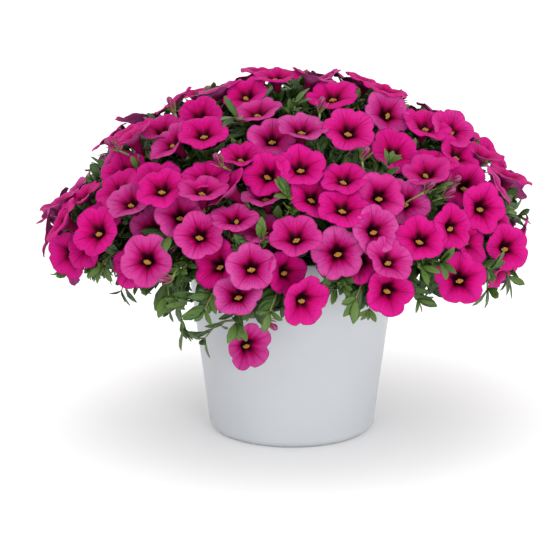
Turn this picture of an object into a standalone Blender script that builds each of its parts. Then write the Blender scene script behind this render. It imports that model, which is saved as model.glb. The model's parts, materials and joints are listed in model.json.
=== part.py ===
# A calibrachoa in full bloom, in its plain cover pot.
# Origin: the middle of the pot's flat base. +Z is up, -Y is the side that the photograph shows.
# Every leafy shoot is one body, and so is every bunch of blooms whose petals touch.

import math

import bmesh
import bpy
import numpy as np
from mathutils import Vector
from mathutils.bvhtree import BVHTree

mm = 0.001

# the pot and its soil
potHeight = 126 * mm
potRimRadius = 70 * mm
potBaseRadius = 53.5 * mm
potCornerRadius = 6 * mm
potWall = 3 * mm
potFloor = 5 * mm
potSides = 36
soilTop = 108 * mm
soilGap = 0.4 * mm
seat = 0.3 * mm
potSlope = (potRimRadius - potBaseRadius) / potHeight

# the dome that the blooms lie on
domeRadius = 160 * mm
domeMiddle = 138 * mm
domeRise = 101 * mm
domeDrop = 78 * mm
domeBulge = 1.7

# a bloom: its five lobes, its throat and its tube
lobeRadius = 15.6 * mm
notchRadius = 13.4 * mm
notchDrop = 0.5 * mm
throatRadius = 5 * mm
throatDrop = 4 * mm
throatFloor = 9 * mm
collarRadius = 6.2 * mm
collarDrop = 5.3 * mm
tubeRadius = 1.5 * mm
tubeLength = 16 * mm
bloomSizes = (0.94, 1.06)

# how the blooms are spread
spiralCount = 270
skirtShare = 0.30
bloomRoom = 26 * mm
apart = 0.55 * mm
touching = -2.6 * mm
bunchReach = 37 * mm
neighbourReach = 42 * mm
linkedGap = 22 * mm
mostPush = 4 * mm
rounds = 110
freeRounds = 40
seed = 13

# shoots
shootCount = 20
hubDepth = 20 * mm
stemRadius = 1.5 * mm
twigRadius = 0.75 * mm
calyxRadius = 2.1 * mm
calyxLength = 4.5 * mm
calyxShares = (1, 0.6, 0.36)
forkRadius = 0.6 * mm
stemSides = 3
bareLengths = 3
rootDepth = 12 * mm
holeRadius = 2.3 * mm
holeSides = 4
rootSpread = 47 * mm
leafLengths = (14 * mm, 20 * mm)
leafShape = 0.34
leafThickness = 1.0 * mm
leavesPerShoot = 8
leafTries = 60
leafFoot = 0.45 * mm
rootRoom = 7 * mm
clearance = 0.45 * mm
hostTries = 6
testSides = 6
aheadGain = 6 * mm
turnBackCost = 60 * mm
# how a twig may bend: how far it runs straight behind the calyx, its bow, and the bow's turn
bends = [(deep, bow, turn * math.pi / 4) for deep in (0, 8, 14) for bow in (0, 3, 6, 10, 15, 20)
         for turn in range(8 if bow else 1)]

# the photograph's frame, and how the pot's edges say that it was taken
photoSide = 560
axisX = 292
baseY = 426
viewRise = math.radians(14.5)
viewDistance = 1.8
pixelSize = 0.654 * mm

# blooms that the photograph shows: x, y in its frame, the lean of the face to the right and
# up as it is seen there, and how many millimetres the bloom sits behind the dome
frontBlooms = [
    (244, 87, -0.25, 0.70, 0), (266, 66, 0.05, 0.98, 14), (283, 75, -0.10, 0.90, 0),
    (309, 76, 0.38, 0.92, 6), (336, 79, 0.10, 0.97, 12), (337, 94, -0.05, 0.80, 0),
    (369, 81, 0.38, 0.90, 8), (383, 91, 0.33, 0.88, 2), (391, 110, 0.35, 0.42, 0),
    (439, 110, 0.39, 0.92, 6), (425, 122, 0.30, 0.65, 6), (450, 134, 0.40, 0.50, 0),
    (396, 144, 0.15, 0.62, 0), (438, 149, 0.12, 0.75, 0), (428, 166, 0.02, 0.82, -4),
    (351, 132, 0.05, 0.62, 0), (262, 111, -0.22, 0.84, 4), (300, 129, 0.00, 0.78, 0),
    (275, 134, -0.30, 0.60, 10), (238, 150, 0.00, 0.76, 0), (203, 135, -0.15, 0.72, 0),
    (198, 111, -0.22, 0.66, 6), (207, 88, -0.35, 0.91, 8), (133, 124, -0.40, 0.88, 8),
    (134, 140, -0.55, 0.79, 2), (162, 130, -0.20, 0.76, 10), (171, 138, -0.58, 0.72, -2),
    (102, 157, -0.84, 0.50, 6), (123, 168, -0.60, 0.40, 16), (115, 185, -0.50, 0.66, 6),
    (157, 174, -0.08, 0.82, 0), (164, 191, -0.20, 0.62, -2), (130, 200, -0.45, 0.62, 0),
    (84, 195, -0.70, 0.66, 14), (60, 201, -0.45, 0.87, 0), (95, 212, -0.50, 0.60, 2),
    (99, 231, -0.52, 0.25, 0), (66, 224, -0.70, 0.52, 0), (33, 233, -0.98, 0.05, 0),
    (79, 243, -0.55, 0.05, 12), (64, 253, -0.62, -0.30, 4), (146, 260, -0.18, 0.05, 0),
    (131, 268, -0.45, 0.00, 12), (150, 226, -0.35, 0.15, 16), (210, 181, -0.10, 0.82, 10),
    (226, 184, -0.40, 0.84, 2), (204, 199, 0.02, 0.82, 2), (232, 212, -0.08, 0.76, 0),
    (179, 212, -0.05, 0.32, 2), (199, 231, -0.08, 0.18, 0), (267, 172, -0.28, 0.35, 2),
    (303, 163, 0.10, 0.60, 0), (262, 197, 0.00, 0.78, 12), (261, 222, 0.10, 0.50, 14),
    (313, 199, 0.12, 0.62, 12), (294, 231, 0.14, 0.52, 0), (250, 265, 0.00, 0.20, 0),
    (237, 292, -0.05, 0.45, 0), (220, 267, -0.50, 0.10, 12), (293, 267, 0.55, 0.02, 4),
    (301, 299, 0.52, -0.30, 2), (343, 176, 0.00, 0.76, 0), (345, 210, 0.05, 0.70, 0),
    (340, 252, 0.00, -0.08, 2), (381, 193, 0.34, 0.10, 0), (371, 230, 0.48, 0.15, 4),
    (389, 257, 0.28, 0.42, 0), (362, 262, -0.20, 0.20, 14), (407, 207, 0.20, 0.45, 12),
    (418, 234, 0.00, 0.28, -2), (455, 228, 0.60, 0.12, 2), (474, 240, 0.80, 0.10, 12),
    (462, 277, 0.08, 0.05, -6), (509, 247, 0.45, 0.06, 0), (484, 208, 0.42, 0.00, 0),
    (472, 182, 0.12, 0.32, 2), (497, 177, 0.85, 0.48, 6), (484, 151, 0.50, 0.78, 6),
    (497, 221, 0.75, 0.30, 14), (462, 160, 0.40, 0.60, 14), (390, 292, 0.30, -0.25, 6),
    (250, 347, 0.50, -0.30, -30),
]

# the camera's axes, and the point that the middle of the frame shows
right = np.array([1.0, 0.0, 0.0])
upward = np.array([0.0, math.sin(viewRise), math.cos(viewRise)])
toward = np.array([0.0, -math.cos(viewRise), math.sin(viewRise)])
aim = np.array([(photoSide / 2 - axisX) * pixelSize, 0.0,
                (baseY - photoSide / 2) * pixelSize / math.cos(viewRise)])
eye = aim + toward * viewDistance


def unit(v):
    return v / np.linalg.norm(v)


def ray(x, y):
    across = (x - photoSide / 2) * pixelSize
    up = (photoSide / 2 - y) * pixelSize
    return unit(right * across + upward * up - toward * viewDistance)


def domeLevel(p):
    half = np.where(p[..., 2] > domeMiddle, domeRise, domeDrop)
    across = np.hypot(p[..., 0], p[..., 1]) / domeRadius
    up = np.abs(p[..., 2] - domeMiddle) / half
    return across ** domeBulge + up ** domeBulge


def domeNormal(p):
    steps = np.eye(3) * 0.5 * mm
    return unit(np.array([domeLevel(p + e) - domeLevel(p - e) for e in steps]))


def onDome(x, y):
    reach = np.linspace(viewDistance - 0.22, viewDistance + 0.22, 881)
    line = eye + reach[:, None] * ray(x, y)
    level = domeLevel(line)
    inside = np.flatnonzero(level < 1)
    return line[inside[0] if len(inside) else int(np.argmin(level))]


def fromMiddle(direction):
    """The dome's surface along a direction from its middle."""
    start = np.array([0.0, 0.0, domeMiddle])
    near, far = 0.0, 0.3
    for _ in range(30):
        half = (near + far) / 2
        if domeLevel(start + direction * half) < 1:
            near = half
        else:
            far = half
    return start + direction * near


def placeBlooms(rng):
    """Where each bloom's rim is centred and which way it faces."""
    places, faces = [], []
    for x, y, leanRight, leanUp, back in frontBlooms:
        ahead = math.sqrt(max(0.0, 1 - leanRight ** 2 - leanUp ** 2))
        places.append(onDome(x, y) + ray(x, y) * back * mm)
        faces.append(unit(leanRight * right + leanUp * upward + ahead * toward))
    # the sides and the back, on a golden spiral, wherever a bloom has room
    for k in range(spiralCount):
        polar = math.acos(1 - (1 + skirtShare) * (k + 0.5) / spiralCount)
        turn = k * math.pi * (3 - math.sqrt(5)) + rng.uniform(-0.1, 0.1)
        direction = np.array([math.sin(polar) * math.cos(turn),
                              math.sin(polar) * math.sin(turn), math.cos(polar)])
        p = fromMiddle(direction) - direction * rng.uniform(0, 9) * mm
        normal = domeNormal(p)
        lift = np.array([0.0, 0.0, rng.uniform(0.15, 0.8)])
        face = unit(normal + lift + rng.normal(0, 0.22, 3))
        facesCamera = normal @ unit(eye - p) > 0.02
        if facesCamera and p[1] < 30 * mm:
            continue
        if min(np.linalg.norm(p - q) for q in places) < bloomRoom:
            continue
        places.append(p)
        faces.append(face)
    return np.array(places), np.array(faces)


def frameFor(face, turn):
    """Rows: the two axes of a bloom's rim, and the way it faces."""
    side = np.cross(np.array([0.0, 0.0, 1.0]), face)
    if np.linalg.norm(side) < 0.05:
        side = np.cross(np.array([0.0, 1.0, 0.0]), face)
    side = unit(side)
    other = np.cross(face, side)
    return np.array([side * math.cos(turn) + other * math.sin(turn),
                     other * math.cos(turn) - side * math.sin(turn), face])


def topOf(r):
    return np.interp(r, [0, throatRadius, lobeRadius], [-throatFloor, -throatDrop, 0])


def underOf(r):
    return np.interp(r, [0, tubeRadius, collarRadius, lobeRadius],
                     [-tubeLength, -tubeLength, -collarDrop, 0])


def bloomSamples():
    """The corners of a bloom, and points halfway in from its rim on both sides."""
    corners, _ = bloomMesh()
    rim, throat, collar = corners[:15], corners[15:20], corners[20:25]
    face = (rim + np.tile(throat, (3, 1))) / 2
    back = (rim + np.tile(collar, (3, 1))) / 2
    return np.vstack([corners, face, back])


def neighbourPush(points, place, frame, size, clear):
    """How far points must go to be clear of a bloom, which way, and the point that is worst.

    They go forwards off its face, backwards off its back, or sideways off its rim."""
    local = (points - place) @ frame.T / size
    r = np.hypot(local[:, 0], local[:, 1])
    rim = lobeRadius + clear if clear > 0 else notchRadius
    near = np.flatnonzero(r < rim)
    if not len(near):
        return None
    above = local[near, 2] - topOf(r[near])
    below = local[near, 2] - underOf(r[near])
    ways = [(clear - above.min(), frame[2], near[np.argmin(above)]),
            (clear + below.max(), -frame[2], near[np.argmax(below)])]
    if clear > 0:
        for wrong in (above < clear, below > -clear):
            if wrong.any():
                k = near[wrong][np.argmin(r[near][wrong])]
                out = local[k, 0] * frame[0] + local[k, 1] * frame[1]
                ways.append((rim - r[k], out / (r[k] + 1e-9), k))
    distance, way, worst = min(ways, key=lambda choice: choice[0])
    return distance, way, points[worst]


def settle(places, faces, turns, sizes, links):
    """Shifts and tips the blooms until bunches are clear of each other and linked blooms touch."""
    samples = bloomSamples()
    homes, aims = places.copy(), faces.copy()
    for step in range(rounds):
        frames = np.array([frameFor(f, t) for f, t in zip(faces, turns)])
        world = places[:, None] + np.einsum("kc,ncd->nkd", samples, frames) * sizes[:, None, None]
        apartness = np.linalg.norm(places[:, None] - places[None], axis=2)
        move, tip = np.zeros_like(places), np.zeros_like(places)
        far = np.full(apartness.shape, -1.0)
        for i, j in links:
            for a, b in ((i, j), (j, i)):
                found = neighbourPush(world[a], places[b], frames[b], sizes[b], touching)
                if found:
                    far[a, b] = found[0]
        for i, j in np.argwhere(apartness < neighbourReach):
            if i == j:
                continue
            linked = (min(i, j), max(i, j)) in links
            found = neighbourPush(world[i], places[j], frames[j], sizes[j],
                                  touching if linked else apart)
            if found is None:
                if linked:
                    gap = max(0.0, apartness[i, j] - linkedGap)
                    move[i] += 0.15 * gap * unit(places[j] - places[i])
                    move[j] -= 0.15 * gap * unit(places[j] - places[i])
                continue
            distance, way, where = found
            if distance < 0 and not (linked and far[i, j] >= far[j, i] - 1e-9):
                continue
            weight = 0.5 if distance < 0 else 0.3
            push = float(np.clip(distance, -mostPush, mostPush)) * weight * way
            move[i] += push
            move[j] -= push
            tip[i] += np.cross(where - places[i], push)
            tip[j] -= np.cross(where - places[j], push)
        spring = 0.025 if step < rounds - freeRounds else 0.0
        places = places + move * 0.6 + (homes - places) * spring
        faces = faces + np.cross(tip * 0.25 / lobeRadius ** 2, faces) + (aims - faces) * spring
        faces = faces / np.linalg.norm(faces, axis=1)[:, None]
    return places, faces


def gather(points, count):
    """Shares points out among count middles, each the mean of its own."""
    middles = [points[0]]
    while len(middles) < count:
        away = np.min([np.linalg.norm(points - m, axis=1) for m in middles], axis=0)
        middles.append(points[int(np.argmax(away))])
    for _ in range(12):
        away = np.linalg.norm(points[:, None] - np.array(middles)[None], axis=2)
        own = np.argmin(away, axis=1)
        middles = [points[own == k].mean(0) for k in range(count)]
    return own, np.array(middles)


def bunchLinks(places, shoot):
    """Pairs of blooms that touch: those of a shoot within reach, linked by the shortest tree."""
    links = set()
    for k in range(shootCount):
        rest = list(np.flatnonzero(shoot == k))
        while rest:
            inside = [rest.pop(0)]
            while rest:
                gap, a, b = min((np.linalg.norm(places[a] - places[b]), a, b)
                                for a in inside for b in rest)
                if gap > bunchReach:
                    break
                links.add((min(a, b), max(a, b)))
                inside.append(b)
                rest.remove(b)
    return links


def bloomMesh():
    """Points and faces of one bloom, its rim in the plane z = 0, facing +Z."""
    lobe = math.radians(72)

    def ring(r, z, angle):
        return [(r * math.cos(angle + k * lobe), r * math.sin(angle + k * lobe), z) for k in range(5)]

    notches = ring(notchRadius, -notchDrop, 0)
    leftShoulders = ring(lobeRadius, 0.3 * mm, math.radians(24))
    rightShoulders = ring(lobeRadius, -0.1 * mm, math.radians(48))
    throat = ring(throatRadius, -throatDrop, lobe / 2)
    collar = ring(collarRadius, -collarDrop, lobe / 2)
    tubeEnd = [(tubeRadius * math.cos(a), tubeRadius * math.sin(a), -tubeLength)
               for a in (lobe / 2 + math.radians(120) * k for k in range(3))]
    points = notches + leftShoulders + rightShoulders + throat + collar + tubeEnd
    points.append((0, 0, -throatFloor))
    floor = len(points) - 1
    end = 25
    faces = []
    for k in range(5):
        after = (k + 1) % 5
        rim = [k, 5 + k, 10 + k, after]
        for a, b in zip(rim, rim[1:]):
            faces.append((15 + k, a, b))
            faces.append((20 + k, b, a))
        faces.append((15 + k, after, 15 + after))
        faces.append((20 + k, 20 + after, after))
        faces.append((15 + k, 15 + after, floor))
    # five collar points run into the tube's three
    for k, corner in enumerate((0, 1, 1, 2, 0)):
        ends = {1: (0, 1), 3: (1, 2), 4: (2, 0)}.get(k)
        if ends:
            faces.append((20 + k, end + ends[0], end + ends[1]))
            corner = ends[1]
        faces.append((20 + k, end + corner, 20 + (k + 1) % 5))
    faces.append((end, end + 2, end + 1))
    return np.array(points), faces


def tubeMesh(path, radii, sides):
    """A closed round rod along a path."""
    net = Net()
    ring = net.ring(path[0], unit(path[1] - path[0]), radii[0], sides)
    net.faces.append(tuple(reversed(ring)))
    net.extend(ring, path, radii)
    return net.mesh()


class Net:
    """One closed body that grows: rods, twigs and leaves start from its own faces."""

    def __init__(self):
        self.points = []
        self.faces = []
        self.side = None

    def add(self, points):
        first = len(self.points)
        self.points += [np.array(p, dtype=float) for p in points]
        return list(range(first, len(self.points)))

    def mesh(self):
        return np.array(self.points), list(self.faces)

    def ring(self, centre, along, radius, sides):
        if self.side is None:
            self.side = np.cross(along, [0.31, 0.95, 0.1])
        self.side = unit(self.side - along * (self.side @ along))
        other = np.cross(along, self.side)
        turns = np.arange(sides) * 2 * math.pi / sides
        return self.add(centre + radius * (math.cos(a) * self.side + math.sin(a) * other)
                        for a in turns)

    def extend(self, ring, path, radii):
        """Carries a ring along a path and closes its end. Returns the side faces."""
        path = np.array(path)
        ways = np.gradient(path, axis=0)
        made = []
        for centre, way, radius in zip(path[1:], ways[1:], radii[1:]):
            after = self.ring(centre, unit(way), radius, len(ring))
            for k in range(len(ring)):
                n = (k + 1) % len(ring)
                made += [len(self.faces), len(self.faces) + 1]
                self.faces.append((ring[k], ring[n], after[n]))
                self.faces.append((ring[k], after[n], after[k]))
            ring = after
        self.faces.append(tuple(ring))
        return made

    def spot(self, face):
        """The middle of the circle inside a face, the circle's radius, and the face's normal."""
        a, b, c = (self.points[k] for k in self.faces[face])
        sides = np.array([np.linalg.norm(b - c), np.linalg.norm(c - a), np.linalg.norm(a - b)])
        normal = np.cross(b - a, c - a)
        middle = (sides[0] * a + sides[1] * b + sides[2] * c) / sides.sum()
        return middle, np.linalg.norm(normal) / sides.sum(), unit(normal)

    def cutRing(self, face, radius):
        """Makes a ring of three points within a face, for something to grow from."""
        a, b, c = self.faces[face]
        middle, room, normal = self.spot(face)
        radius = min(radius, 0.8 * room)
        toCorners = [unit(self.points[k] - middle) for k in (a, b, c)]
        ring = self.add(middle + radius * d for d in toCorners)
        r, s, t = ring
        self.faces[face] = (a, b, s)
        self.faces += [(a, s, r), (b, c, t), (b, t, s), (c, a, r), (c, r, t)]
        self.side = toCorners[0]
        return ring

    def twig(self, face, path, radii):
        return self.extend(self.cutRing(face, radii[0]), path, radii)

    def leaf(self, face, blade):
        """Joins a blade, given by its points, to a ring in a face."""
        ring = self.cutRing(face, leafFoot)
        first, second, tip, fourth, fifth, top, bottom = self.add(blade)
        for a, b in ((first, second), (second, tip), (tip, fourth), (fourth, fifth)):
            self.faces.append((b, a, top))
            self.faces.append((a, b, bottom))
        self.zip(ring, [first, top, fifth, bottom], unit(blade[2] - self.points[ring[0]]))

    def zip(self, low, high, along):
        """Joins two rings that both turn the same way round an axis."""
        side = unit(np.cross(along, [0.31, 0.95, 0.1]))
        other = np.cross(along, side)

        def angles(ring):
            middle = sum(self.points[k] for k in ring) / len(ring)
            arms = [self.points[k] - middle for k in ring]
            raw = np.array([math.atan2(arm @ other, arm @ side) for arm in arms])
            return np.unwrap(raw)

        lower, upper = angles(low), angles(high)
        if lower[-1] < lower[0] or upper[-1] < upper[0]:
            raise ValueError("a ring turns the wrong way")
        away = np.abs(np.angle(np.exp(1j * (upper - lower[0]))))
        start = int(np.argmin(away))
        upper = np.unwrap(np.roll(upper, -start))
        upper += 2 * math.pi * round((lower[0] - upper[0]) / (2 * math.pi))
        high = high[start:] + high[:start]
        lower = np.append(lower, lower[0] + 2 * math.pi)
        upper = np.append(upper, upper[0] + 2 * math.pi)
        i = j = 0
        while i < len(low) or j < len(high):
            below, above = low[i % len(low)], high[j % len(high)]
            if j == len(high) or (i < len(low) and lower[i + 1] <= upper[j + 1]):
                self.faces.append((below, low[(i + 1) % len(low)], above))
                i += 1
            else:
                self.faces.append((below, high[(j + 1) % len(high)], above))
                j += 1


def leafBlade(length):
    """The points of a leaf along +X, its face up: half its outline, its tip, the other half,
    and the middle of its face and of its back."""
    wide = length * leafShape / 2
    outline = [(0.32, 0.9, 0.12), (0.7, 0.85, 0.12), (1, 0, -0.15), (0.7, -0.85, 0.12),
               (0.32, -0.9, 0.12)]
    points = [(x * length, y * wide, z * wide * 2) for x, y, z in outline]
    points.append((0.5 * length, 0, leafThickness * 0.4))
    points.append((0.5 * length, 0, -leafThickness * 0.6))
    return np.array(points)


def bezier(a, b, c, d, count):
    t = np.linspace(0, 1, count)[:, None]
    return (1 - t) ** 3 * a + 3 * (1 - t) ** 2 * t * b + 3 * (1 - t) * t ** 2 * c + t ** 3 * d


def treeOf(points, faces):
    return BVHTree.FromPolygons([Vector(p) for p in points], faces)


def crosses(mesh, trees):
    tree = treeOf(*mesh)
    return any(tree.overlap(other) for other in trees)


def materialFor(name, colour, roughness):
    material = bpy.data.materials.new(name)
    material.use_nodes = True
    shader = material.node_tree.nodes["Principled BSDF"]
    shader.inputs["Base Color"].default_value = (*colour, 1)
    shader.inputs["Roughness"].default_value = roughness
    shader.inputs["Metallic"].default_value = 0.0
    material.diffuse_color = (*colour, 1)
    return material


def objectFrom(name, mesh, material=None):
    data = bpy.data.meshes.new(name)
    points, faces = mesh
    data.from_pydata([tuple(p) for p in points], [], [tuple(f) for f in faces])
    data.validate()
    piece = bpy.data.objects.new(name, data)
    bpy.context.scene.collection.objects.link(piece)
    if material:
        data.materials.append(material)
    return piece


def combine(piece, meshes, operation):
    """Joins closed meshes to a piece, or cuts them from it."""
    others = bpy.data.collections.new(piece.name + "_others")
    for k, mesh in enumerate(meshes):
        other = objectFrom(f"{piece.name}_other_{k}", mesh)
        bpy.context.scene.collection.objects.unlink(other)
        others.objects.link(other)
    change = piece.modifiers.new("change", "BOOLEAN")
    change.operation = operation
    change.solver = "MANIFOLD"
    change.operand_type = "COLLECTION"
    change.collection = others
    bpy.context.view_layer.update()
    evaluated = piece.evaluated_get(bpy.context.evaluated_depsgraph_get())
    result = bpy.data.meshes.new_from_object(evaluated)
    piece.modifiers.clear()
    if not result.materials:
        result.materials.append(piece.data.materials[0])
    piece.data = result
    for other in list(others.objects):
        bpy.data.objects.remove(other)
    bpy.data.collections.remove(others)


def fuse(name, meshes, material):
    """One closed body from meshes that run into each other."""
    piece = objectFrom(name, meshes[0], material)
    if len(meshes) > 1:
        combine(piece, meshes[1:], "UNION")


def potOutline():
    """Radius and height down the outside of the pot, round its foot, and up the inside."""
    points = [(potRimRadius, potHeight)]
    foot = potBaseRadius - potCornerRadius * 0.86
    for k in range(4):
        a = math.radians(8 + k * (90 - 8) / 3)
        points.append((foot + potCornerRadius * math.cos(a), potCornerRadius * (1 - math.sin(a))))
    inner = potBaseRadius + potSlope * potFloor - potWall
    return points + [(0.0, 0.0), (0.0, potFloor), (inner, potFloor),
                     (potRimRadius - potWall, potHeight)]


def turned(name, outline, material):
    """A closed shape turned round the pot's axis, from its outline."""
    data = bmesh.new()
    rings = []
    for r, z in outline:
        if r == 0.0:
            rings.append([data.verts.new((0, 0, z))])
            continue
        rings.append([data.verts.new((r * math.cos(a), r * math.sin(a), z))
                      for a in np.arange(potSides) * 2 * math.pi / potSides])
    for low, high in zip(rings, rings[1:] + rings[:1]):
        for k in range(potSides):
            after = (k + 1) % potSides
            corners = [low[k % len(low)], low[after % len(low)],
                       high[after % len(high)], high[k % len(high)]]
            corners = list(dict.fromkeys(corners))
            if len(corners) > 2:
                data.faces.new(corners)
    bmesh.ops.recalc_face_normals(data, faces=data.faces)
    mesh = bpy.data.meshes.new(name)
    data.to_mesh(mesh)
    data.free()
    piece = bpy.data.objects.new(name, mesh)
    bpy.context.scene.collection.objects.link(piece)
    mesh.materials.append(material)
    return piece


def soilOutline():
    """The soil fills the pot from just over its floor, clear of its wall."""
    low = potFloor + seat

    def across(z):
        return potBaseRadius + potSlope * z - potWall - soilGap

    return [(across(soilTop), soilTop), (across(low), low), (0.0, low), (0.0, soilTop)]


def drill(piece, roots):
    """Plain holes for the stems."""
    holes = []
    for root in roots:
        path = [root - [0, 0, seat], np.array([root[0], root[1], soilTop + 2 * mm])]
        holes.append(tubeMesh(path, [holeRadius] * 2, holeSides))
    combine(piece, holes, "DIFFERENCE")


def stemPath(root, hub, lift, swing):
    """Up out of its hole, over the rim where the hub hangs outside it, and on to the hub."""
    above = np.array([root[0], root[1], soilTop + 4 * mm])
    outward = unit(np.array([hub[0], hub[1], 0.0]) + 1e-6)
    sideways = np.array([-outward[1], outward[0], 0.0])
    drop = max(0.0, potHeight + 24 * mm - hub[2])
    first = above + np.array([0.0, 0.0, 16 * mm + lift]) + swing * sideways
    second = hub - outward * 24 * mm + np.array([0.0, 0.0, drop + lift - 8 * mm]) + swing * sideways
    return np.vstack([[root], bezier(above, first, second, hub, 8)])


def leafFrame(direction, up):
    across = unit(np.cross(up, direction))
    return np.array([direction, across, np.cross(direction, across)])


def placeRoots(hubs):
    """Holes for the stems: each towards its hub, the outer ones for the low hubs."""
    height = np.clip((hubs[:, 2] - potHeight) / (domeRise - hubDepth), 0, 1)
    turn = np.arctan2(hubs[:, 1], hubs[:, 0])
    spread = rootSpread * (1 - 0.85 * height)
    roots = np.stack([spread * np.cos(turn), spread * np.sin(turn)], axis=1)
    for _ in range(60):
        for i in range(len(roots)):
            for j in range(i):
                gap = roots[i] - roots[j]
                short = rootRoom - np.linalg.norm(gap)
                if short > 0:
                    roots[i] += unit(gap) * short / 2
                    roots[j] -= unit(gap) * short / 2
        far = np.linalg.norm(roots, axis=1)[:, None]
        roots = roots * np.minimum(1, rootSpread / np.maximum(far, 1e-9))
    floor = np.full((len(roots), 1), soilTop - rootDepth)
    return np.hstack([roots, floor])


def stemChoices(root, hub):
    for lift in (0, 8, 16, 26, 34, -6):
        for swing in (0, 7, -7, 14, -14, 22, -22, 32, -32, 42, -42):
            path = stemPath(root, hub, lift * mm, swing * mm)
            slim = np.linspace(stemRadius, stemRadius * 0.8, len(path))
            yield path, slim, tubeMesh(path, slim + clearance, testSides)


def twigChoices(start, base, face):
    """Paths from a fork to the foot of a bloom, straight first and then more and more bent.

    Where nothing else is clear, the calyx is smaller."""
    for grown in calyxShares:
        foot = base - face * calyxLength * grown
        chord = unit(foot - start)
        sideways = unit(np.cross(face, chord) + 1e-9)
        inward = np.cross(chord, sideways)
        for deep, bow, turn in bends:
            path = [start, foot, base - face * seat]
            radii = [forkRadius, twigRadius, calyxRadius * grown]
            if deep:
                path.insert(1, foot - face * deep * mm)
                radii.insert(1, twigRadius)
            if bow:
                shift = sideways * math.cos(turn) + inward * math.sin(turn)
                path.insert(1, (start + path[1]) / 2 + shift * bow * mm)
                radii.insert(1, twigRadius)
            test = [start + unit(path[1] - start) * 1.5 * mm] + path[1:-1]
            test.append(path[-1] - face * seat)
            fat = [r + clearance for r in radii[:-1]] + [radii[-1]]
            yield path, radii, tubeMesh(test, fat, testSides)


def firstClear(choices, trees):
    """The first path whose thickened rod keeps clear of everything, or the last one."""
    for path, radii, fat in choices:
        if not crosses(fat, trees):
            return path, radii, True
    return path, radii, False


def growTwigs(net, free, targets, still):
    """A twig from the stem to each bloom. Returns the faces that leaves may grow from."""
    hosts, own, poor = [], [], 0
    for base, face in targets:
        foot = base - face * calyxLength
        costs = []
        for k in free:
            middle, _, normal = net.spot(k)
            way = unit(foot - middle)
            turnBack = max(0.0, 0.35 - normal @ way)
            costs.append((np.linalg.norm(foot - middle) - aheadGain * (normal @ way) +
                          turnBackCost * turnBack, k, middle))
        costs.sort(key=lambda cost: cost[0])
        clear = False
        for _, k, middle in costs[:hostTries]:
            path, radii, clear = firstClear(twigChoices(middle, base, face), still + own)
            if clear:
                break
        poor += not clear
        free.remove(k)
        hosts += net.twig(k, path, radii)[:-2 * stemSides]
        beyond = [path[0] + (path[1] - path[0]) * 0.2] + path[1:]
        own.append(treeOf(*tubeMesh(beyond, radii, testSides)))
    return hosts, own, poor


def growLeaves(rng, shoots, others):
    """Leaves on the stems and twigs, turned out to the light, wherever they have room."""
    grown = [0] * len(shoots)
    kept = [[] for _ in shoots]
    for lap in range(leafTries):
        for k, (net, hosts, own) in enumerate(shoots):
            if grown[k] >= leavesPerShoot or not hosts:
                continue
            face = hosts[int(rng.integers(len(hosts)))]
            at, room, normal = net.spot(face)
            out = domeNormal(at)
            spin = unit(np.cross(out, rng.normal(0, 1, 3)))
            way = unit(spin + out * rng.uniform(0.1, 1.3) + [0, 0, rng.uniform(-0.2, 0.2)])
            length = rng.uniform(*leafLengths)
            if way @ normal < 0.25 or room < 0.3 * mm:
                continue
            axes = leafFrame(way, out + [0, 0, 0.6])
            blade = at + leafBlade(length) @ axes
            if np.linalg.norm(blade.mean(0)[:2]) < potRimRadius + 8 * mm and \
                    blade[:, 2].min() < soilTop + 3 * mm:
                continue
            fat = Net()
            for z in (-clearance, clearance):
                corners = fat.add([at + way * 1.5 * mm + z * axes[2]])
                corners += fat.add(blade + z * axes[2] + way * 0.5 * mm)
                fat.faces += [tuple(corners[i] for i in f) for f in
                              ((0, 1, 5), (1, 2, 3), (1, 3, 5), (3, 4, 5))]
            nearby = others[k] + own + [t for trees in kept for t in trees]
            if crosses(fat.mesh(), nearby):
                continue
            net.leaf(face, blade)
            hosts.remove(face)
            grown[k] += 1
            kept[k].append(treeOf(*fat.mesh()))
    return grown


def growShoots(rng, places, faces, sizes, shoot, still):
    """Every shoot as one body: its stem, a twig and a calyx for each bloom, and its leaves."""
    bases = places - faces * (tubeLength * sizes)[:, None]
    hubs = []
    for k in range(shootCount):
        middle = bases[shoot == k].mean(0)
        hubs.append(middle - domeNormal(middle) * hubDepth)
    hubs = np.array(hubs)
    roots = placeRoots(hubs)
    nets, trees, free, poor = [], [], [], 0
    for root, hub in zip(roots, hubs):
        taken = still + trees
        path, radii, clear = firstClear(stemChoices(root + [0, 0, seat], hub), taken)
        poor += not clear
        net = Net()
        ring = net.ring(path[0], unit(path[1] - path[0]), radii[0], stemSides)
        net.faces.append(tuple(reversed(ring)))
        made = net.extend(ring, path, radii)
        nets.append(net)
        free.append(made[2 * stemSides * bareLengths:])
        trees.append(treeOf(*tubeMesh(path, radii, stemSides)))
    twigTrees = []
    hosts = []
    for k, net in enumerate(nets):
        own = np.flatnonzero(shoot == k)
        reach = np.linalg.norm(bases[own] - hubs[k], axis=1)
        targets = [(bases[i], faces[i]) for i in own[np.argsort(reach)]]
        taken = still + trees[:k] + trees[k + 1:] + [t for ts in twigTrees for t in ts]
        made, ownTrees, bad = growTwigs(net, free[k], targets, taken)
        poor += bad
        twigTrees.append(ownTrees)
        hosts.append(made + free[k])
    print("stems and twigs that found no clear way", poor)
    shoots = [(net, host, own + [trees[k]])
              for k, (net, host, own) in enumerate(zip(nets, hosts, twigTrees))]
    others = [still + trees[:k] + trees[k + 1:] +
              [t for j, ts in enumerate(twigTrees) for t in ts if j != k]
              for k in range(len(nets))]
    print("leaves", growLeaves(rng, shoots, others))
    return [net.mesh() for net in nets], roots


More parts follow.
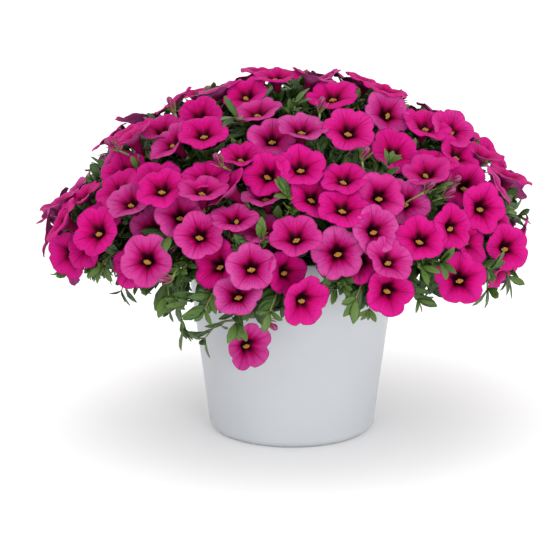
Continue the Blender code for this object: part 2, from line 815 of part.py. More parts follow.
def spreadBlooms(rng):
    """The blooms' places, faces and sizes, the shoot of each, and their shapes."""
    places, faces = placeBlooms(rng)
    count = len(places)
    turns = rng.uniform(0, 2 * math.pi, count)
    sizes = rng.uniform(*bloomSizes, count)
    shoot, _ = gather(places - faces * tubeLength, shootCount)
    links = bunchLinks(places, shoot)
    places, faces = settle(places, faces, turns, sizes, links)
    points, bloomFaces = bloomMesh()
    blooms = []
    for place, face, turn, size in zip(places, faces, turns, sizes):
        blooms.append((place + points @ frameFor(face, turn) * size, bloomFaces))
    return places, faces, sizes, shoot, blooms


def joinTouching(places, trees):
    """Blooms whose petals touch are one body."""
    body = list(range(len(places)))
    for i in range(len(places)):
        for j in range(i):
            near = np.linalg.norm(places[i] - places[j]) < neighbourReach
            if near and trees[i].overlap(trees[j]):
                body = [body[j] if b == body[i] else b for b in body]
    return body


def main():
    for piece in list(bpy.data.objects):
        bpy.data.objects.remove(piece)
    rng = np.random.default_rng(seed)
    pot = turned("pot", potOutline(), materialFor("pot", (0.62, 0.64, 0.67), 0.42))
    soil = turned("soil", soilOutline(), materialFor("soil", (0.045, 0.030, 0.020), 0.95))
    places, faces, sizes, shoot, blooms = spreadBlooms(rng)
    bloomTrees = [treeOf(*bloom) for bloom in blooms]
    body = joinTouching(places, bloomTrees)
    potTree = BVHTree.FromObject(pot, bpy.context.evaluated_depsgraph_get())
    greens, roots = growShoots(rng, places, faces, sizes, shoot, [potTree] + bloomTrees)
    drill(soil, roots)
    for k, shape in enumerate(greens, 1):
        objectFrom(f"shoot_{k:02d}", shape, materialFor(f"shoot_{k:02d}", (0.06, 0.13, 0.03), 0.55))
    for k, name in enumerate(sorted(set(body)), 1):
        members = [bloom for bloom, b in zip(blooms, body) if b == name]
        fuse(f"blooms_{k:02d}", members, materialFor(f"blooms_{k:02d}", (0.66, 0.02, 0.30), 0.6))
    total = 0
    for piece in bpy.context.scene.objects:
        total += sum(len(p.vertices) - 2 for p in piece.data.polygons)
    print("blooms", len(blooms), "bodies of blooms", len(set(body)), "triangles", total)


if __name__ == "__main__":
    main()
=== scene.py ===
# The looks of a calibrachoa in full bloom, in its plain pot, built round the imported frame.
# Metres, +Z up. The origin is the middle of the pot's flat base, and -Y faces the photograph.

import json
import math

import bpy
import numpy as np
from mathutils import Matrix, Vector
from mathutils.bvhtree import BVHTree

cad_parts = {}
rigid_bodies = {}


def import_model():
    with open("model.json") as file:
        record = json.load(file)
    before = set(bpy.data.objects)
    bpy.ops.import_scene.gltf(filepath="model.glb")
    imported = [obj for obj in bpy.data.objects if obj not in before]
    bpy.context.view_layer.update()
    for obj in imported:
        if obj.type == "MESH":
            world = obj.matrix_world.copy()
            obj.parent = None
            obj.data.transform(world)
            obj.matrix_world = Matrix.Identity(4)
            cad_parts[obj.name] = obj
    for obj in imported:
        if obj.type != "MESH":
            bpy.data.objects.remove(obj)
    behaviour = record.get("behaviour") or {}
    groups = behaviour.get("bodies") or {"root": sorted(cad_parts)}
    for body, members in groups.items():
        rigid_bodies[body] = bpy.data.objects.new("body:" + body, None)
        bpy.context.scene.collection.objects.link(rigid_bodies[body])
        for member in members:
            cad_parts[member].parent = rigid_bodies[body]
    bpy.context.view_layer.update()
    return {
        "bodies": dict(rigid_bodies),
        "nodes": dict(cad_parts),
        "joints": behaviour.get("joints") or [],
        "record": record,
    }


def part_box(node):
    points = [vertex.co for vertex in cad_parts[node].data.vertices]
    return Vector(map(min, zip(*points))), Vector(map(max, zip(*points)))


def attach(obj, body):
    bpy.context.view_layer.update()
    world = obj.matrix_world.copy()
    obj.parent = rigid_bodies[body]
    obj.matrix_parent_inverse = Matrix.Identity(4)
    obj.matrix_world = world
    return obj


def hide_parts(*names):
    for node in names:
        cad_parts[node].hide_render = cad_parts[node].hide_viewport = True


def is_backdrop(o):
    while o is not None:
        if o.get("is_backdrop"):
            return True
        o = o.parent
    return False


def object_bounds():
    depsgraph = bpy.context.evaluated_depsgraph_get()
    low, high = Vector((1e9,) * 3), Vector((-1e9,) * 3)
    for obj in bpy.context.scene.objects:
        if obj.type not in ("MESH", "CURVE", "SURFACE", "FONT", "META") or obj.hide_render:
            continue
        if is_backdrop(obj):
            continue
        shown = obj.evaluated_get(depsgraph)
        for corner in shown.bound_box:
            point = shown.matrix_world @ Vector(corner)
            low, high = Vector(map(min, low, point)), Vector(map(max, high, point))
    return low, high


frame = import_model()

mm = 0.001
print("frame loaded:", len(frame["nodes"]), "nodes")

# sizes of the pot
potForm = {
    "height": 126 * mm,
    "rimRadius": 70 * mm,
    "baseRadius": 53.5 * mm,
    "cornerRadius": 6 * mm,
    "wall": 3 * mm,
    "floor": 5 * mm,
    "soilTop": 108 * mm,
}

# the dome that the blooms lie on
domeForm = {
    "radius": 160 * mm,
    "middle": 138 * mm,
    "rise": 101 * mm,
    "drop": 78 * mm,
    "bulge": 1.7,
}

# one bloom, the same sizes as in the frame
bloomForm = {
    "lobeRadius": 15.6 * mm,
    "notchRadius": 13.4 * mm,
    "notchDrop": 0.5 * mm,
    "throatRadius": 5 * mm,
    "throatDrop": 4 * mm,
    "throatFloor": 9 * mm,
    "collarRadius": 6.2 * mm,
    "collarDrop": 5.3 * mm,
    "tubeRadius": 1.5 * mm,
    "tubeLength": 16 * mm,
    "bloomSizes": (0.94, 1.06),
}

# how the blooms are spread and pushed apart
spreadBy = {
    "spiralCount": 270,
    "skirtShare": 0.30,
    "turnStray": 0.1,
    "deepest": 9,           # millimetres under the dome
    "lifts": (0.15, 0.8),
    "faceStray": 0.22,
    "frontEdge": 30 * mm,
    "bloomRoom": 26 * mm,
    "apart": 0.55 * mm,
    "touching": -2.6 * mm,
    "bunchReach": 37 * mm,
    "neighbourReach": 42 * mm,
    "linkedGap": 22 * mm,
    "mostPush": 4 * mm,
    "pull": 0.15,
    "moveShare": 0.6,
    "tipShare": 0.25,
    "spring": 0.025,
    "rounds": 110,
    "freeRounds": 40,
    "seed": 13,
}
goldenTurn = math.pi * (3 - math.sqrt(5))

# stems, twigs and the leaves that the frame has
shootForm = {
    "shootCount": 20,
    "hubDepth": 20 * mm,
    "stemRadius": 1.5 * mm,
    "twigRadius": 0.75 * mm,
    "calyxRadius": 2.1 * mm,
    "calyxLength": 4.5 * mm,
    "calyxShares": (1, 0.6, 0.36),
    "forkRadius": 0.6 * mm,
    "stemSides": 3,
    "bareLengths": 3,
    "rootDepth": 12 * mm,
    "rootSpread": 47 * mm,
    "leafLengths": (14 * mm, 20 * mm),
    "leafShape": 0.34,
    "leafThickness": 1.0 * mm,
    "leavesPerShoot": 8,
    "leafTries": 60,
    "leafRises": (0.1, 1.3),
    "leafStray": 0.2,
    "leafTurn": 0.25,
    "leafSeat": 0.3 * mm,
    "leafStart": 1.5 * mm,
    "potRoom": 8 * mm,
    "soilRoom": 3 * mm,
    "stemRise": 16 * mm,
    "overRim": 24 * mm,
    "rootRoom": 7 * mm,
    "clearance": 0.45 * mm,
    "hostTries": 6,
    "testSides": 6,
    "aheadGain": 6 * mm,
    "turnBackCost": 60 * mm,
    "seat": 0.3 * mm,
}
bends = [(deep, bow, turn * math.pi / 4) for deep in (0, 8, 14) for bow in (0, 3, 6, 10, 15, 20)
         for turn in range(8 if bow else 1)]

# the photograph's frame and its camera
photo = {
    "side": 560,
    "axisX": 292,
    "baseY": 426,
    "viewRise": math.radians(14.5),
    "viewDistance": 1.8,
    "pixelSize": 0.654 * mm,
}

# blooms that the photograph shows: x, y in its frame, the lean of the face to the right and
# up as it is seen there, and how many millimetres the bloom sits behind the dome
frontBlooms = [
    (244, 87, -0.25, 0.70, 0), (266, 66, 0.05, 0.98, 14), (283, 75, -0.10, 0.90, 0),
    (309, 76, 0.38, 0.92, 6), (336, 79, 0.10, 0.97, 12), (337, 94, -0.05, 0.80, 0),
    (369, 81, 0.38, 0.90, 8), (383, 91, 0.33, 0.88, 2), (391, 110, 0.35, 0.42, 0),
    (439, 110, 0.39, 0.92, 6), (425, 122, 0.30, 0.65, 6), (450, 134, 0.40, 0.50, 0),
    (396, 144, 0.15, 0.62, 0), (438, 149, 0.12, 0.75, 0), (428, 166, 0.02, 0.82, -4),
    (351, 132, 0.05, 0.62, 0), (262, 111, -0.22, 0.84, 4), (300, 129, 0.00, 0.78, 0),
    (275, 134, -0.30, 0.60, 10), (238, 150, 0.00, 0.76, 0), (203, 135, -0.15, 0.72, 0),
    (198, 111, -0.22, 0.66, 6), (207, 88, -0.35, 0.91, 8), (133, 124, -0.40, 0.88, 8),
    (134, 140, -0.55, 0.79, 2), (162, 130, -0.20, 0.76, 10), (171, 138, -0.58, 0.72, -2),
    (102, 157, -0.84, 0.50, 6), (123, 168, -0.60, 0.40, 16), (115, 185, -0.50, 0.66, 6),
    (157, 174, -0.08, 0.82, 0), (164, 191, -0.20, 0.62, -2), (130, 200, -0.45, 0.62, 0),
    (84, 195, -0.70, 0.66, 14), (60, 201, -0.45, 0.87, 0), (95, 212, -0.50, 0.60, 2),
    (99, 231, -0.52, 0.25, 0), (66, 224, -0.70, 0.52, 0), (33, 233, -0.98, 0.05, 0),
    (79, 243, -0.55, 0.05, 12), (64, 253, -0.62, -0.30, 4), (146, 260, -0.18, 0.05, 0),
    (131, 268, -0.45, 0.00, 12), (150, 226, -0.35, 0.15, 16), (210, 181, -0.10, 0.82, 10),
    (226, 184, -0.40, 0.84, 2), (204, 199, 0.02, 0.82, 2), (232, 212, -0.08, 0.76, 0),
    (179, 212, -0.05, 0.32, 2), (199, 231, -0.08, 0.18, 0), (267, 172, -0.28, 0.35, 2),
    (303, 163, 0.10, 0.60, 0), (262, 197, 0.00, 0.78, 12), (261, 222, 0.10, 0.50, 14),
    (313, 199, 0.12, 0.62, 12), (294, 231, 0.14, 0.52, 0), (250, 265, 0.00, 0.20, 0),
    (237, 292, -0.05, 0.45, 0), (220, 267, -0.50, 0.10, 12), (293, 267, 0.55, 0.02, 4),
    (301, 299, 0.52, -0.30, 2), (343, 176, 0.00, 0.76, 0), (345, 210, 0.05, 0.70, 0),
    (340, 252, 0.00, -0.08, 2), (381, 193, 0.34, 0.10, 0), (371, 230, 0.48, 0.15, 4),
    (389, 257, 0.28, 0.42, 0), (362, 262, -0.20, 0.20, 14), (407, 207, 0.20, 0.45, 12),
    (418, 234, 0.00, 0.28, -2), (455, 228, 0.60, 0.12, 2), (474, 240, 0.80, 0.10, 12),
    (462, 277, 0.08, 0.05, -6), (509, 247, 0.45, 0.06, 0), (484, 208, 0.42, 0.00, 0),
    (472, 182, 0.12, 0.32, 2), (497, 177, 0.85, 0.48, 6), (484, 151, 0.50, 0.78, 6),
    (497, 221, 0.75, 0.30, 14), (462, 160, 0.40, 0.60, 14), (390, 292, 0.30, -0.25, 6),
    (250, 347, 0.50, -0.30, -30),
]

right = np.array([1.0, 0.0, 0.0])
upward = np.array([0.0, math.sin(photo["viewRise"]), math.cos(photo["viewRise"])])
toward = np.array([0.0, -math.cos(photo["viewRise"]), math.sin(photo["viewRise"])])
aim = np.array([(photo["side"] / 2 - photo["axisX"]) * photo["pixelSize"], 0.0,
                (photo["baseY"] - photo["side"] / 2) * photo["pixelSize"] / upward[2]])
eye = aim + toward * photo["viewDistance"]


def unit(v):
    return v / np.linalg.norm(v)


def heading(polar, turn):
    # The direction at an angle from +Z, and turned about it.
    return np.array([math.sin(polar) * math.cos(turn), math.sin(polar) * math.sin(turn),
                     math.cos(polar)])


def squareTo(way):
    # Two directions square to a way and to each other.
    side = unit(np.cross(way, [0.3, 0.1, 0.9]))
    return side, np.cross(way, side)


def spokes(sides):
    return np.arange(sides) * 2 * math.pi / sides


def hoop(turn, r, z):
    # A ring of points round the Z axis.
    return np.stack([r * np.cos(turn), r * np.sin(turn), z * np.ones(len(turn))], axis=1)


def ray(x, y):
    across = (x - photo["side"] / 2) * photo["pixelSize"]
    up = (photo["side"] / 2 - y) * photo["pixelSize"]
    return unit(right * across + upward * up - toward * photo["viewDistance"])


def domeLevel(p):
    half = np.where(p[..., 2] > domeForm["middle"], domeForm["rise"], domeForm["drop"])
    across = np.hypot(p[..., 0], p[..., 1]) / domeForm["radius"]
    up = np.abs(p[..., 2] - domeForm["middle"]) / half
    return across ** domeForm["bulge"] + up ** domeForm["bulge"]


def domeNormal(p):
    steps = np.eye(3) * 0.5 * mm
    return unit(np.array([domeLevel(p + e) - domeLevel(p - e) for e in steps]))


def onDome(x, y):
    reach = np.linspace(photo["viewDistance"] - 0.22, photo["viewDistance"] + 0.22, 881)
    line = eye + reach[:, None] * ray(x, y)
    level = domeLevel(line)
    inside = np.flatnonzero(level < 1)
    return line[inside[0] if len(inside) else int(np.argmin(level))]


def fromMiddle(direction):
    # The dome's surface along a direction from its middle.
    start = np.array([0.0, 0.0, domeForm["middle"]])
    near, far = 0.0, 0.3
    for _ in range(30):
        half = (near + far) / 2
        if domeLevel(start + direction * half) < 1:
            near = half
        else:
            far = half
    return start + direction * near


def placeBlooms(rng):
    # Where each bloom's rim is centred and which way it faces.
    places, faces = [], []
    for x, y, leanRight, leanUp, back in frontBlooms:
        ahead = math.sqrt(max(0.0, 1 - leanRight ** 2 - leanUp ** 2))
        places.append(onDome(x, y) + ray(x, y) * back * mm)
        faces.append(unit(leanRight * right + leanUp * upward + ahead * toward))
    # the sides and the back, on a golden spiral, wherever a bloom has room
    for k in range(spreadBy["spiralCount"]):
        polar = math.acos(1 - (1 + spreadBy["skirtShare"]) * (k + 0.5) / spreadBy["spiralCount"])
        turn = k * goldenTurn + rng.uniform(-spreadBy["turnStray"], spreadBy["turnStray"])
        direction = heading(polar, turn)
        p = fromMiddle(direction) - direction * rng.uniform(0, spreadBy["deepest"]) * mm
        normal = domeNormal(p)
        lift = np.array([0.0, 0.0, rng.uniform(*spreadBy["lifts"])])
        face = unit(normal + lift + rng.normal(0, spreadBy["faceStray"], 3))
        facesCamera = normal @ unit(eye - p) > 0.02
        if facesCamera and p[1] < spreadBy["frontEdge"]:
            continue
        if min(np.linalg.norm(p - q) for q in places) < spreadBy["bloomRoom"]:
            continue
        places.append(p)
        faces.append(face)
    return np.array(places), np.array(faces)


def frameFor(face, turn):
    # Rows: the two axes of a bloom's rim, and the way it faces.
    side = np.cross(np.array([0.0, 0.0, 1.0]), face)
    if np.linalg.norm(side) < 0.05:
        side = np.cross(np.array([0.0, 1.0, 0.0]), face)
    side = unit(side)
    other = np.cross(face, side)
    return np.array([side * math.cos(turn) + other * math.sin(turn),
                     other * math.cos(turn) - side * math.sin(turn), face])


def topOf(r):
    across = [0, bloomForm["throatRadius"], bloomForm["lobeRadius"]]
    return np.interp(r, across, [-bloomForm["throatFloor"], -bloomForm["throatDrop"], 0])


def underOf(r):
    bottom = -bloomForm["tubeLength"]
    across = [0, bloomForm["tubeRadius"], bloomForm["collarRadius"], bloomForm["lobeRadius"]]
    return np.interp(r, across, [bottom, bottom, -bloomForm["collarDrop"], 0])


def bloomSamples():
    # The corners of a bloom, and points halfway in from its rim on both sides.
    corners, _ = bloomMesh()
    rim, throat, collar = corners[:15], corners[15:20], corners[20:25]
    face = (rim + np.tile(throat, (3, 1))) / 2
    back = (rim + np.tile(collar, (3, 1))) / 2
    return np.vstack([corners, face, back])


def neighbourPush(points, place, frame, size, clear):
    # How far points must go to be clear of a bloom, which way, and the point that is worst. They
    # go forwards off its face, backwards off its back, or sideways off its rim.
    local = (points - place) @ frame.T / size
    r = np.hypot(local[:, 0], local[:, 1])
    rim = bloomForm["lobeRadius"] + clear if clear > 0 else bloomForm["notchRadius"]
    near = np.flatnonzero(r < rim)
    if not len(near):
        return None
    above = local[near, 2] - topOf(r[near])
    below = local[near, 2] - underOf(r[near])
    ways = [(clear - above.min(), frame[2], near[np.argmin(above)]),
            (clear + below.max(), -frame[2], near[np.argmax(below)])]
    if clear > 0:
        for wrong in (above < clear, below > -clear):
            if wrong.any():
                k = near[wrong][np.argmin(r[near][wrong])]
                out = local[k, 0] * frame[0] + local[k, 1] * frame[1]
                ways.append((rim - r[k], out / (r[k] + 1e-9), k))
    distance, way, worst = min(ways, key=lambda choice: choice[0])
    return distance, way, points[worst]


def settle(places, faces, turns, sizes, links):
    # Shifts and tips the blooms until bunches are clear of each other and linked blooms touch.
    samples = bloomSamples()
    homes, aims = places.copy(), faces.copy()
    for step in range(spreadBy["rounds"]):
        frames = np.array([frameFor(f, t) for f, t in zip(faces, turns)])
        world = places[:, None] + np.einsum("kc,ncd->nkd", samples, frames) * sizes[:, None, None]
        apartness = np.linalg.norm(places[:, None] - places[None], axis=2)
        move, tip = np.zeros_like(places), np.zeros_like(places)
        far = np.full(apartness.shape, -1.0)
        for i, j in links:
            for a, b in ((i, j), (j, i)):
                found = neighbourPush(world[a], places[b], frames[b], sizes[b],
                                      spreadBy["touching"])
                if found:
                    far[a, b] = found[0]
        for i, j in np.argwhere(apartness < spreadBy["neighbourReach"]):
            if i == j:
                continue
            linked = (min(i, j), max(i, j)) in links
            found = neighbourPush(world[i], places[j], frames[j], sizes[j],
                                  spreadBy["touching"] if linked else spreadBy["apart"])
            if found is None:
                if linked:
                    gap = max(0.0, apartness[i, j] - spreadBy["linkedGap"])
                    move[i] += spreadBy["pull"] * gap * unit(places[j] - places[i])
                    move[j] -= spreadBy["pull"] * gap * unit(places[j] - places[i])
                continue
            distance, way, where = found
            if distance < 0 and not (linked and far[i, j] >= far[j, i] - 1e-9):
                continue
            weight = 0.5 if distance < 0 else 0.3
            push = float(np.clip(distance, -spreadBy["mostPush"], spreadBy["mostPush"]))
            push = push * weight * way
            move[i] += push
            move[j] -= push
            tip[i] += np.cross(where - places[i], push)
            tip[j] -= np.cross(where - places[j], push)
        spring = spreadBy["spring"] if step < spreadBy["rounds"] - spreadBy["freeRounds"] else 0.0
        places = places + move * spreadBy["moveShare"] + (homes - places) * spring
        turning = tip * spreadBy["tipShare"] / bloomForm["lobeRadius"] ** 2
        faces = faces + np.cross(turning, faces) + (aims - faces) * spring
        faces = faces / np.linalg.norm(faces, axis=1)[:, None]
    return places, faces


def gather(points, count):
    # Shares points out among count middles, and returns the middle that each belongs to.
    middles = [points[0]]
    while len(middles) < count:
        away = np.min([np.linalg.norm(points - m, axis=1) for m in middles], axis=0)
        middles.append(points[int(np.argmax(away))])
    for _ in range(12):
        away = np.linalg.norm(points[:, None] - np.array(middles)[None], axis=2)
        own = np.argmin(away, axis=1)
        middles = [points[own == k].mean(0) for k in range(count)]
    return own


def bunchLinks(places, shoot):
    # Pairs of blooms that touch: those of a shoot within reach, linked by the shortest tree.
    links = set()
    for k in range(shootForm["shootCount"]):
        rest = list(np.flatnonzero(shoot == k))
        while rest:
            inside = [rest.pop(0)]
            while rest:
                gap, a, b = min((np.linalg.norm(places[a] - places[b]), a, b)
                                for a in inside for b in rest)
                if gap > spreadBy["bunchReach"]:
                    break
                links.add((min(a, b), max(a, b)))
                inside.append(b)
                rest.remove(b)
    return links


def bloomMesh():
    # Points and faces of one bloom, its rim in the plane z = 0, facing +Z.
    lobe = math.radians(72)

    def ring(r, z, angle):
        turns = [angle + k * lobe for k in range(5)]
        return [(r * math.cos(a), r * math.sin(a), z) for a in turns]

    notches = ring(bloomForm["notchRadius"], -bloomForm["notchDrop"], 0)
    leftShoulders = ring(bloomForm["lobeRadius"], 0.3 * mm, math.radians(24))
    rightShoulders = ring(bloomForm["lobeRadius"], -0.1 * mm, math.radians(48))
    throat = ring(bloomForm["throatRadius"], -bloomForm["throatDrop"], lobe / 2)
    collar = ring(bloomForm["collarRadius"], -bloomForm["collarDrop"], lobe / 2)
    thirds = [lobe / 2 + math.radians(120) * k for k in range(3)]
    r, z = bloomForm["tubeRadius"], -bloomForm["tubeLength"]
    tubeEnd = [(r * math.cos(a), r * math.sin(a), z) for a in thirds]
    points = notches + leftShoulders + rightShoulders + throat + collar + tubeEnd
    points.append((0, 0, -bloomForm["throatFloor"]))
    floor = len(points) - 1
    end = 25
    faces = []
    for k in range(5):
        after = (k + 1) % 5
        rim = [k, 5 + k, 10 + k, after]
        for a, b in zip(rim, rim[1:]):
            faces.append((15 + k, a, b))
            faces.append((20 + k, b, a))
        faces.append((15 + k, after, 15 + after))
        faces.append((20 + k, 20 + after, after))
        faces.append((15 + k, 15 + after, floor))
    # five collar points run into the tube's three
    for k, corner in enumerate((0, 1, 1, 2, 0)):
        ends = {1: (0, 1), 3: (1, 2), 4: (2, 0)}.get(k)
        if ends:
            faces.append((20 + k, end + ends[0], end + ends[1]))
            corner = ends[1]
        faces.append((20 + k, end + corner, 20 + (k + 1) % 5))
    faces.append((end, end + 2, end + 1))
    return np.array(points), faces


def tubeMesh(path, radii, sides):
    # A closed round rod along a path.
    net = Net()
    ring = net.ring(path[0], unit(path[1] - path[0]), radii[0], sides)
    net.faces.append(tuple(reversed(ring)))
    net.extend(ring, path, radii)
    return net.mesh()


class Net:
    # One body that grows: twigs and leaves start from its own faces.

    def __init__(self):
        self.points = []
        self.faces = []
        self.side = None

    def add(self, points):
        first = len(self.points)
        self.points += [np.array(p, dtype=float) for p in points]
        return list(range(first, len(self.points)))

    def mesh(self):
        return np.array(self.points), list(self.faces)

    def ring(self, centre, along, radius, sides):
        if self.side is None:
            self.side = np.cross(along, [0.31, 0.95, 0.1])
        self.side = unit(self.side - along * (self.side @ along))
        other = np.cross(along, self.side)
        return self.add(centre + radius * (math.cos(a) * self.side + math.sin(a) * other)
                        for a in spokes(sides))

    def extend(self, ring, path, radii):
        # Carries a ring along a path and closes its end. Returns the side faces.
        path = np.array(path)
        ways = np.gradient(path, axis=0)
        made = []
        for centre, way, radius in zip(path[1:], ways[1:], radii[1:]):
            after = self.ring(centre, unit(way), radius, len(ring))
            for k in range(len(ring)):
                n = (k + 1) % len(ring)
                made += [len(self.faces), len(self.faces) + 1]
                self.faces.append((ring[k], ring[n], after[n]))
                self.faces.append((ring[k], after[n], after[k]))
            ring = after
        self.faces.append(tuple(ring))
        return made

    def spot(self, face):
        # The middle of the circle inside a face, the circle's radius, and the face's normal.
        a, b, c = (self.points[k] for k in self.faces[face])
        sides = np.array([np.linalg.norm(b - c), np.linalg.norm(c - a), np.linalg.norm(a - b)])
        normal = np.cross(b - a, c - a)
        middle = (sides[0] * a + sides[1] * b + sides[2] * c) / sides.sum()
        return middle, np.linalg.norm(normal) / sides.sum(), unit(normal)

    def cutRing(self, face, radius):
        # Makes a ring of three points within a face, for something to grow from.
        a, b, c = self.faces[face]
        middle, room, normal = self.spot(face)
        radius = min(radius, 0.8 * room)
        toCorners = [unit(self.points[k] - middle) for k in (a, b, c)]
        ring = self.add(middle + radius * d for d in toCorners)
        r, s, t = ring
        self.faces[face] = (a, b, s)
        self.faces += [(a, s, r), (b, c, t), (b, t, s), (c, a, r), (c, r, t)]
        self.side = toCorners[0]
        return ring

    def twig(self, face, path, radii):
        return self.extend(self.cutRing(face, radii[0]), path, radii)


def leafBlade(length):
    # The points of a leaf along +X, its face up: half its outline, its tip, the other half, and
    # the middle of its face and of its back.
    wide = length * shootForm["leafShape"] / 2
    outline = [(0.32, 0.9, 0.12), (0.7, 0.85, 0.12), (1, 0, -0.15), (0.7, -0.85, 0.12),
               (0.32, -0.9, 0.12)]
    points = [(x * length, y * wide, z * wide * 2) for x, y, z in outline]
    points.append((0.5 * length, 0, shootForm["leafThickness"] * 0.4))
    points.append((0.5 * length, 0, -shootForm["leafThickness"] * 0.6))
    return np.array(points)


def bezier(a, b, c, d, count):
    t = np.linspace(0, 1, count)[:, None]
    return (1 - t) ** 3 * a + 3 * (1 - t) ** 2 * t * b + 3 * (1 - t) * t ** 2 * c + t ** 3 * d


def treeOf(points, faces):
    return BVHTree.FromPolygons([Vector(p) for p in points], faces)


def crosses(mesh, trees):
    tree = treeOf(*mesh)
    return any(tree.overlap(other) for other in trees)


def stemPath(root, hub, lift, swing):
    # Up out of its hole, over the rim where the hub hangs outside it, and on to the hub.
    above = np.array([root[0], root[1], potForm["soilTop"] + 4 * mm])
    outward = unit(np.array([hub[0], hub[1], 0.0]) + 1e-6)
    sideways = np.array([-outward[1], outward[0], 0.0])
    drop = max(0.0, potForm["height"] + shootForm["overRim"] - hub[2])
    first = above + np.array([0.0, 0.0, shootForm["stemRise"] + lift]) + swing * sideways
    second = hub - outward * shootForm["overRim"] + np.array([0.0, 0.0, drop + lift - 8 * mm]) + \
        swing * sideways
    return np.vstack([[root], bezier(above, first, second, hub, 8)])


def leafFrame(direction, up):
    across = unit(np.cross(up, direction))
    return np.array([direction, across, np.cross(direction, across)])


def placeRoots(hubs):
    # Holes for the stems: each towards its hub, the outer ones for the low hubs.
    highest = domeForm["rise"] - shootForm["hubDepth"]
    height = np.clip((hubs[:, 2] - potForm["height"]) / highest, 0, 1)
    turn = np.arctan2(hubs[:, 1], hubs[:, 0])
    spread = shootForm["rootSpread"] * (1 - 0.85 * height)
    roots = np.stack([spread * np.cos(turn), spread * np.sin(turn)], axis=1)
    for _ in range(60):
        for i in range(len(roots)):
            for j in range(i):
                gap = roots[i] - roots[j]
                short = shootForm["rootRoom"] - np.linalg.norm(gap)
                if short > 0:
                    roots[i] += unit(gap) * short / 2
                    roots[j] -= unit(gap) * short / 2
        far = np.linalg.norm(roots, axis=1)[:, None]
        roots = roots * np.minimum(1, shootForm["rootSpread"] / np.maximum(far, 1e-9))
    floor = np.full((len(roots), 1), potForm["soilTop"] - shootForm["rootDepth"])
    return np.hstack([roots, floor])


def stemChoices(root, hub):
    for lift in (0, 8, 16, 26, 34, -6):
        for swing in (0, 7, -7, 14, -14, 22, -22, 32, -32, 42, -42):
            path = stemPath(root, hub, lift * mm, swing * mm)
            slim = np.linspace(shootForm["stemRadius"], shootForm["stemRadius"] * 0.8, len(path))
            yield path, slim, tubeMesh(path, slim + shootForm["clearance"], shootForm["testSides"])


def twigChoices(start, base, face):
    # Paths from a fork to the foot of a bloom, straight first and then more and more bent. Where
    # nothing else is clear, the calyx is smaller.
    for grown in shootForm["calyxShares"]:
        foot = base - face * shootForm["calyxLength"] * grown
        chord = unit(foot - start)
        sideways = unit(np.cross(face, chord) + 1e-9)
        inward = np.cross(chord, sideways)
        for deep, bow, turn in bends:
            path = [start, foot, base - face * shootForm["seat"]]
            radii = [shootForm["forkRadius"], shootForm["twigRadius"],
                     shootForm["calyxRadius"] * grown]
            if deep:
                path.insert(1, foot - face * deep * mm)
                radii.insert(1, shootForm["twigRadius"])
            if bow:
                shift = sideways * math.cos(turn) + inward * math.sin(turn)
                path.insert(1, (start + path[1]) / 2 + shift * bow * mm)
                radii.insert(1, shootForm["twigRadius"])
            test = [start + unit(path[1] - start) * 1.5 * mm] + path[1:-1]
            test.append(path[-1] - face * shootForm["seat"])
            fat = [r + shootForm["clearance"] for r in radii[:-1]] + [radii[-1]]
            yield path, radii, tubeMesh(test, fat, shootForm["testSides"])


def firstClear(choices, trees):
    # The first path whose thickened rod keeps clear of everything, or the last one.
    for path, radii, fat in choices:
        if not crosses(fat, trees):
            return path, radii, True
    return path, radii, False


def growTwigs(net, free, targets, still):
    # A twig from the stem to each bloom. Returns the faces that leaves may grow from.
    hosts, own, rods = [], [], []
    for base, face in targets:
        foot = base - face * shootForm["calyxLength"]
        costs = []
        for k in free:
            middle, _, normal = net.spot(k)
            way = unit(foot - middle)
            turnBack = max(0.0, 0.35 - normal @ way)
            costs.append((np.linalg.norm(foot - middle) - shootForm["aheadGain"] * (normal @ way) +
                          shootForm["turnBackCost"] * turnBack, k, middle))
        costs.sort(key=lambda cost: cost[0])
        clear = False
        for _, k, middle in costs[:shootForm["hostTries"]]:
            path, radii, clear = firstClear(twigChoices(middle, base, face), still + own)
            if clear:
                break
        free.remove(k)
        hosts += net.twig(k, path, radii)[:-2 * shootForm["stemSides"]]
        beyond = [path[0] + (path[1] - path[0]) * 0.2] + path[1:]
        own.append(treeOf(*tubeMesh(beyond, radii, shootForm["testSides"])))
        rods.append((path, radii, base, face))
    return hosts, own, rods


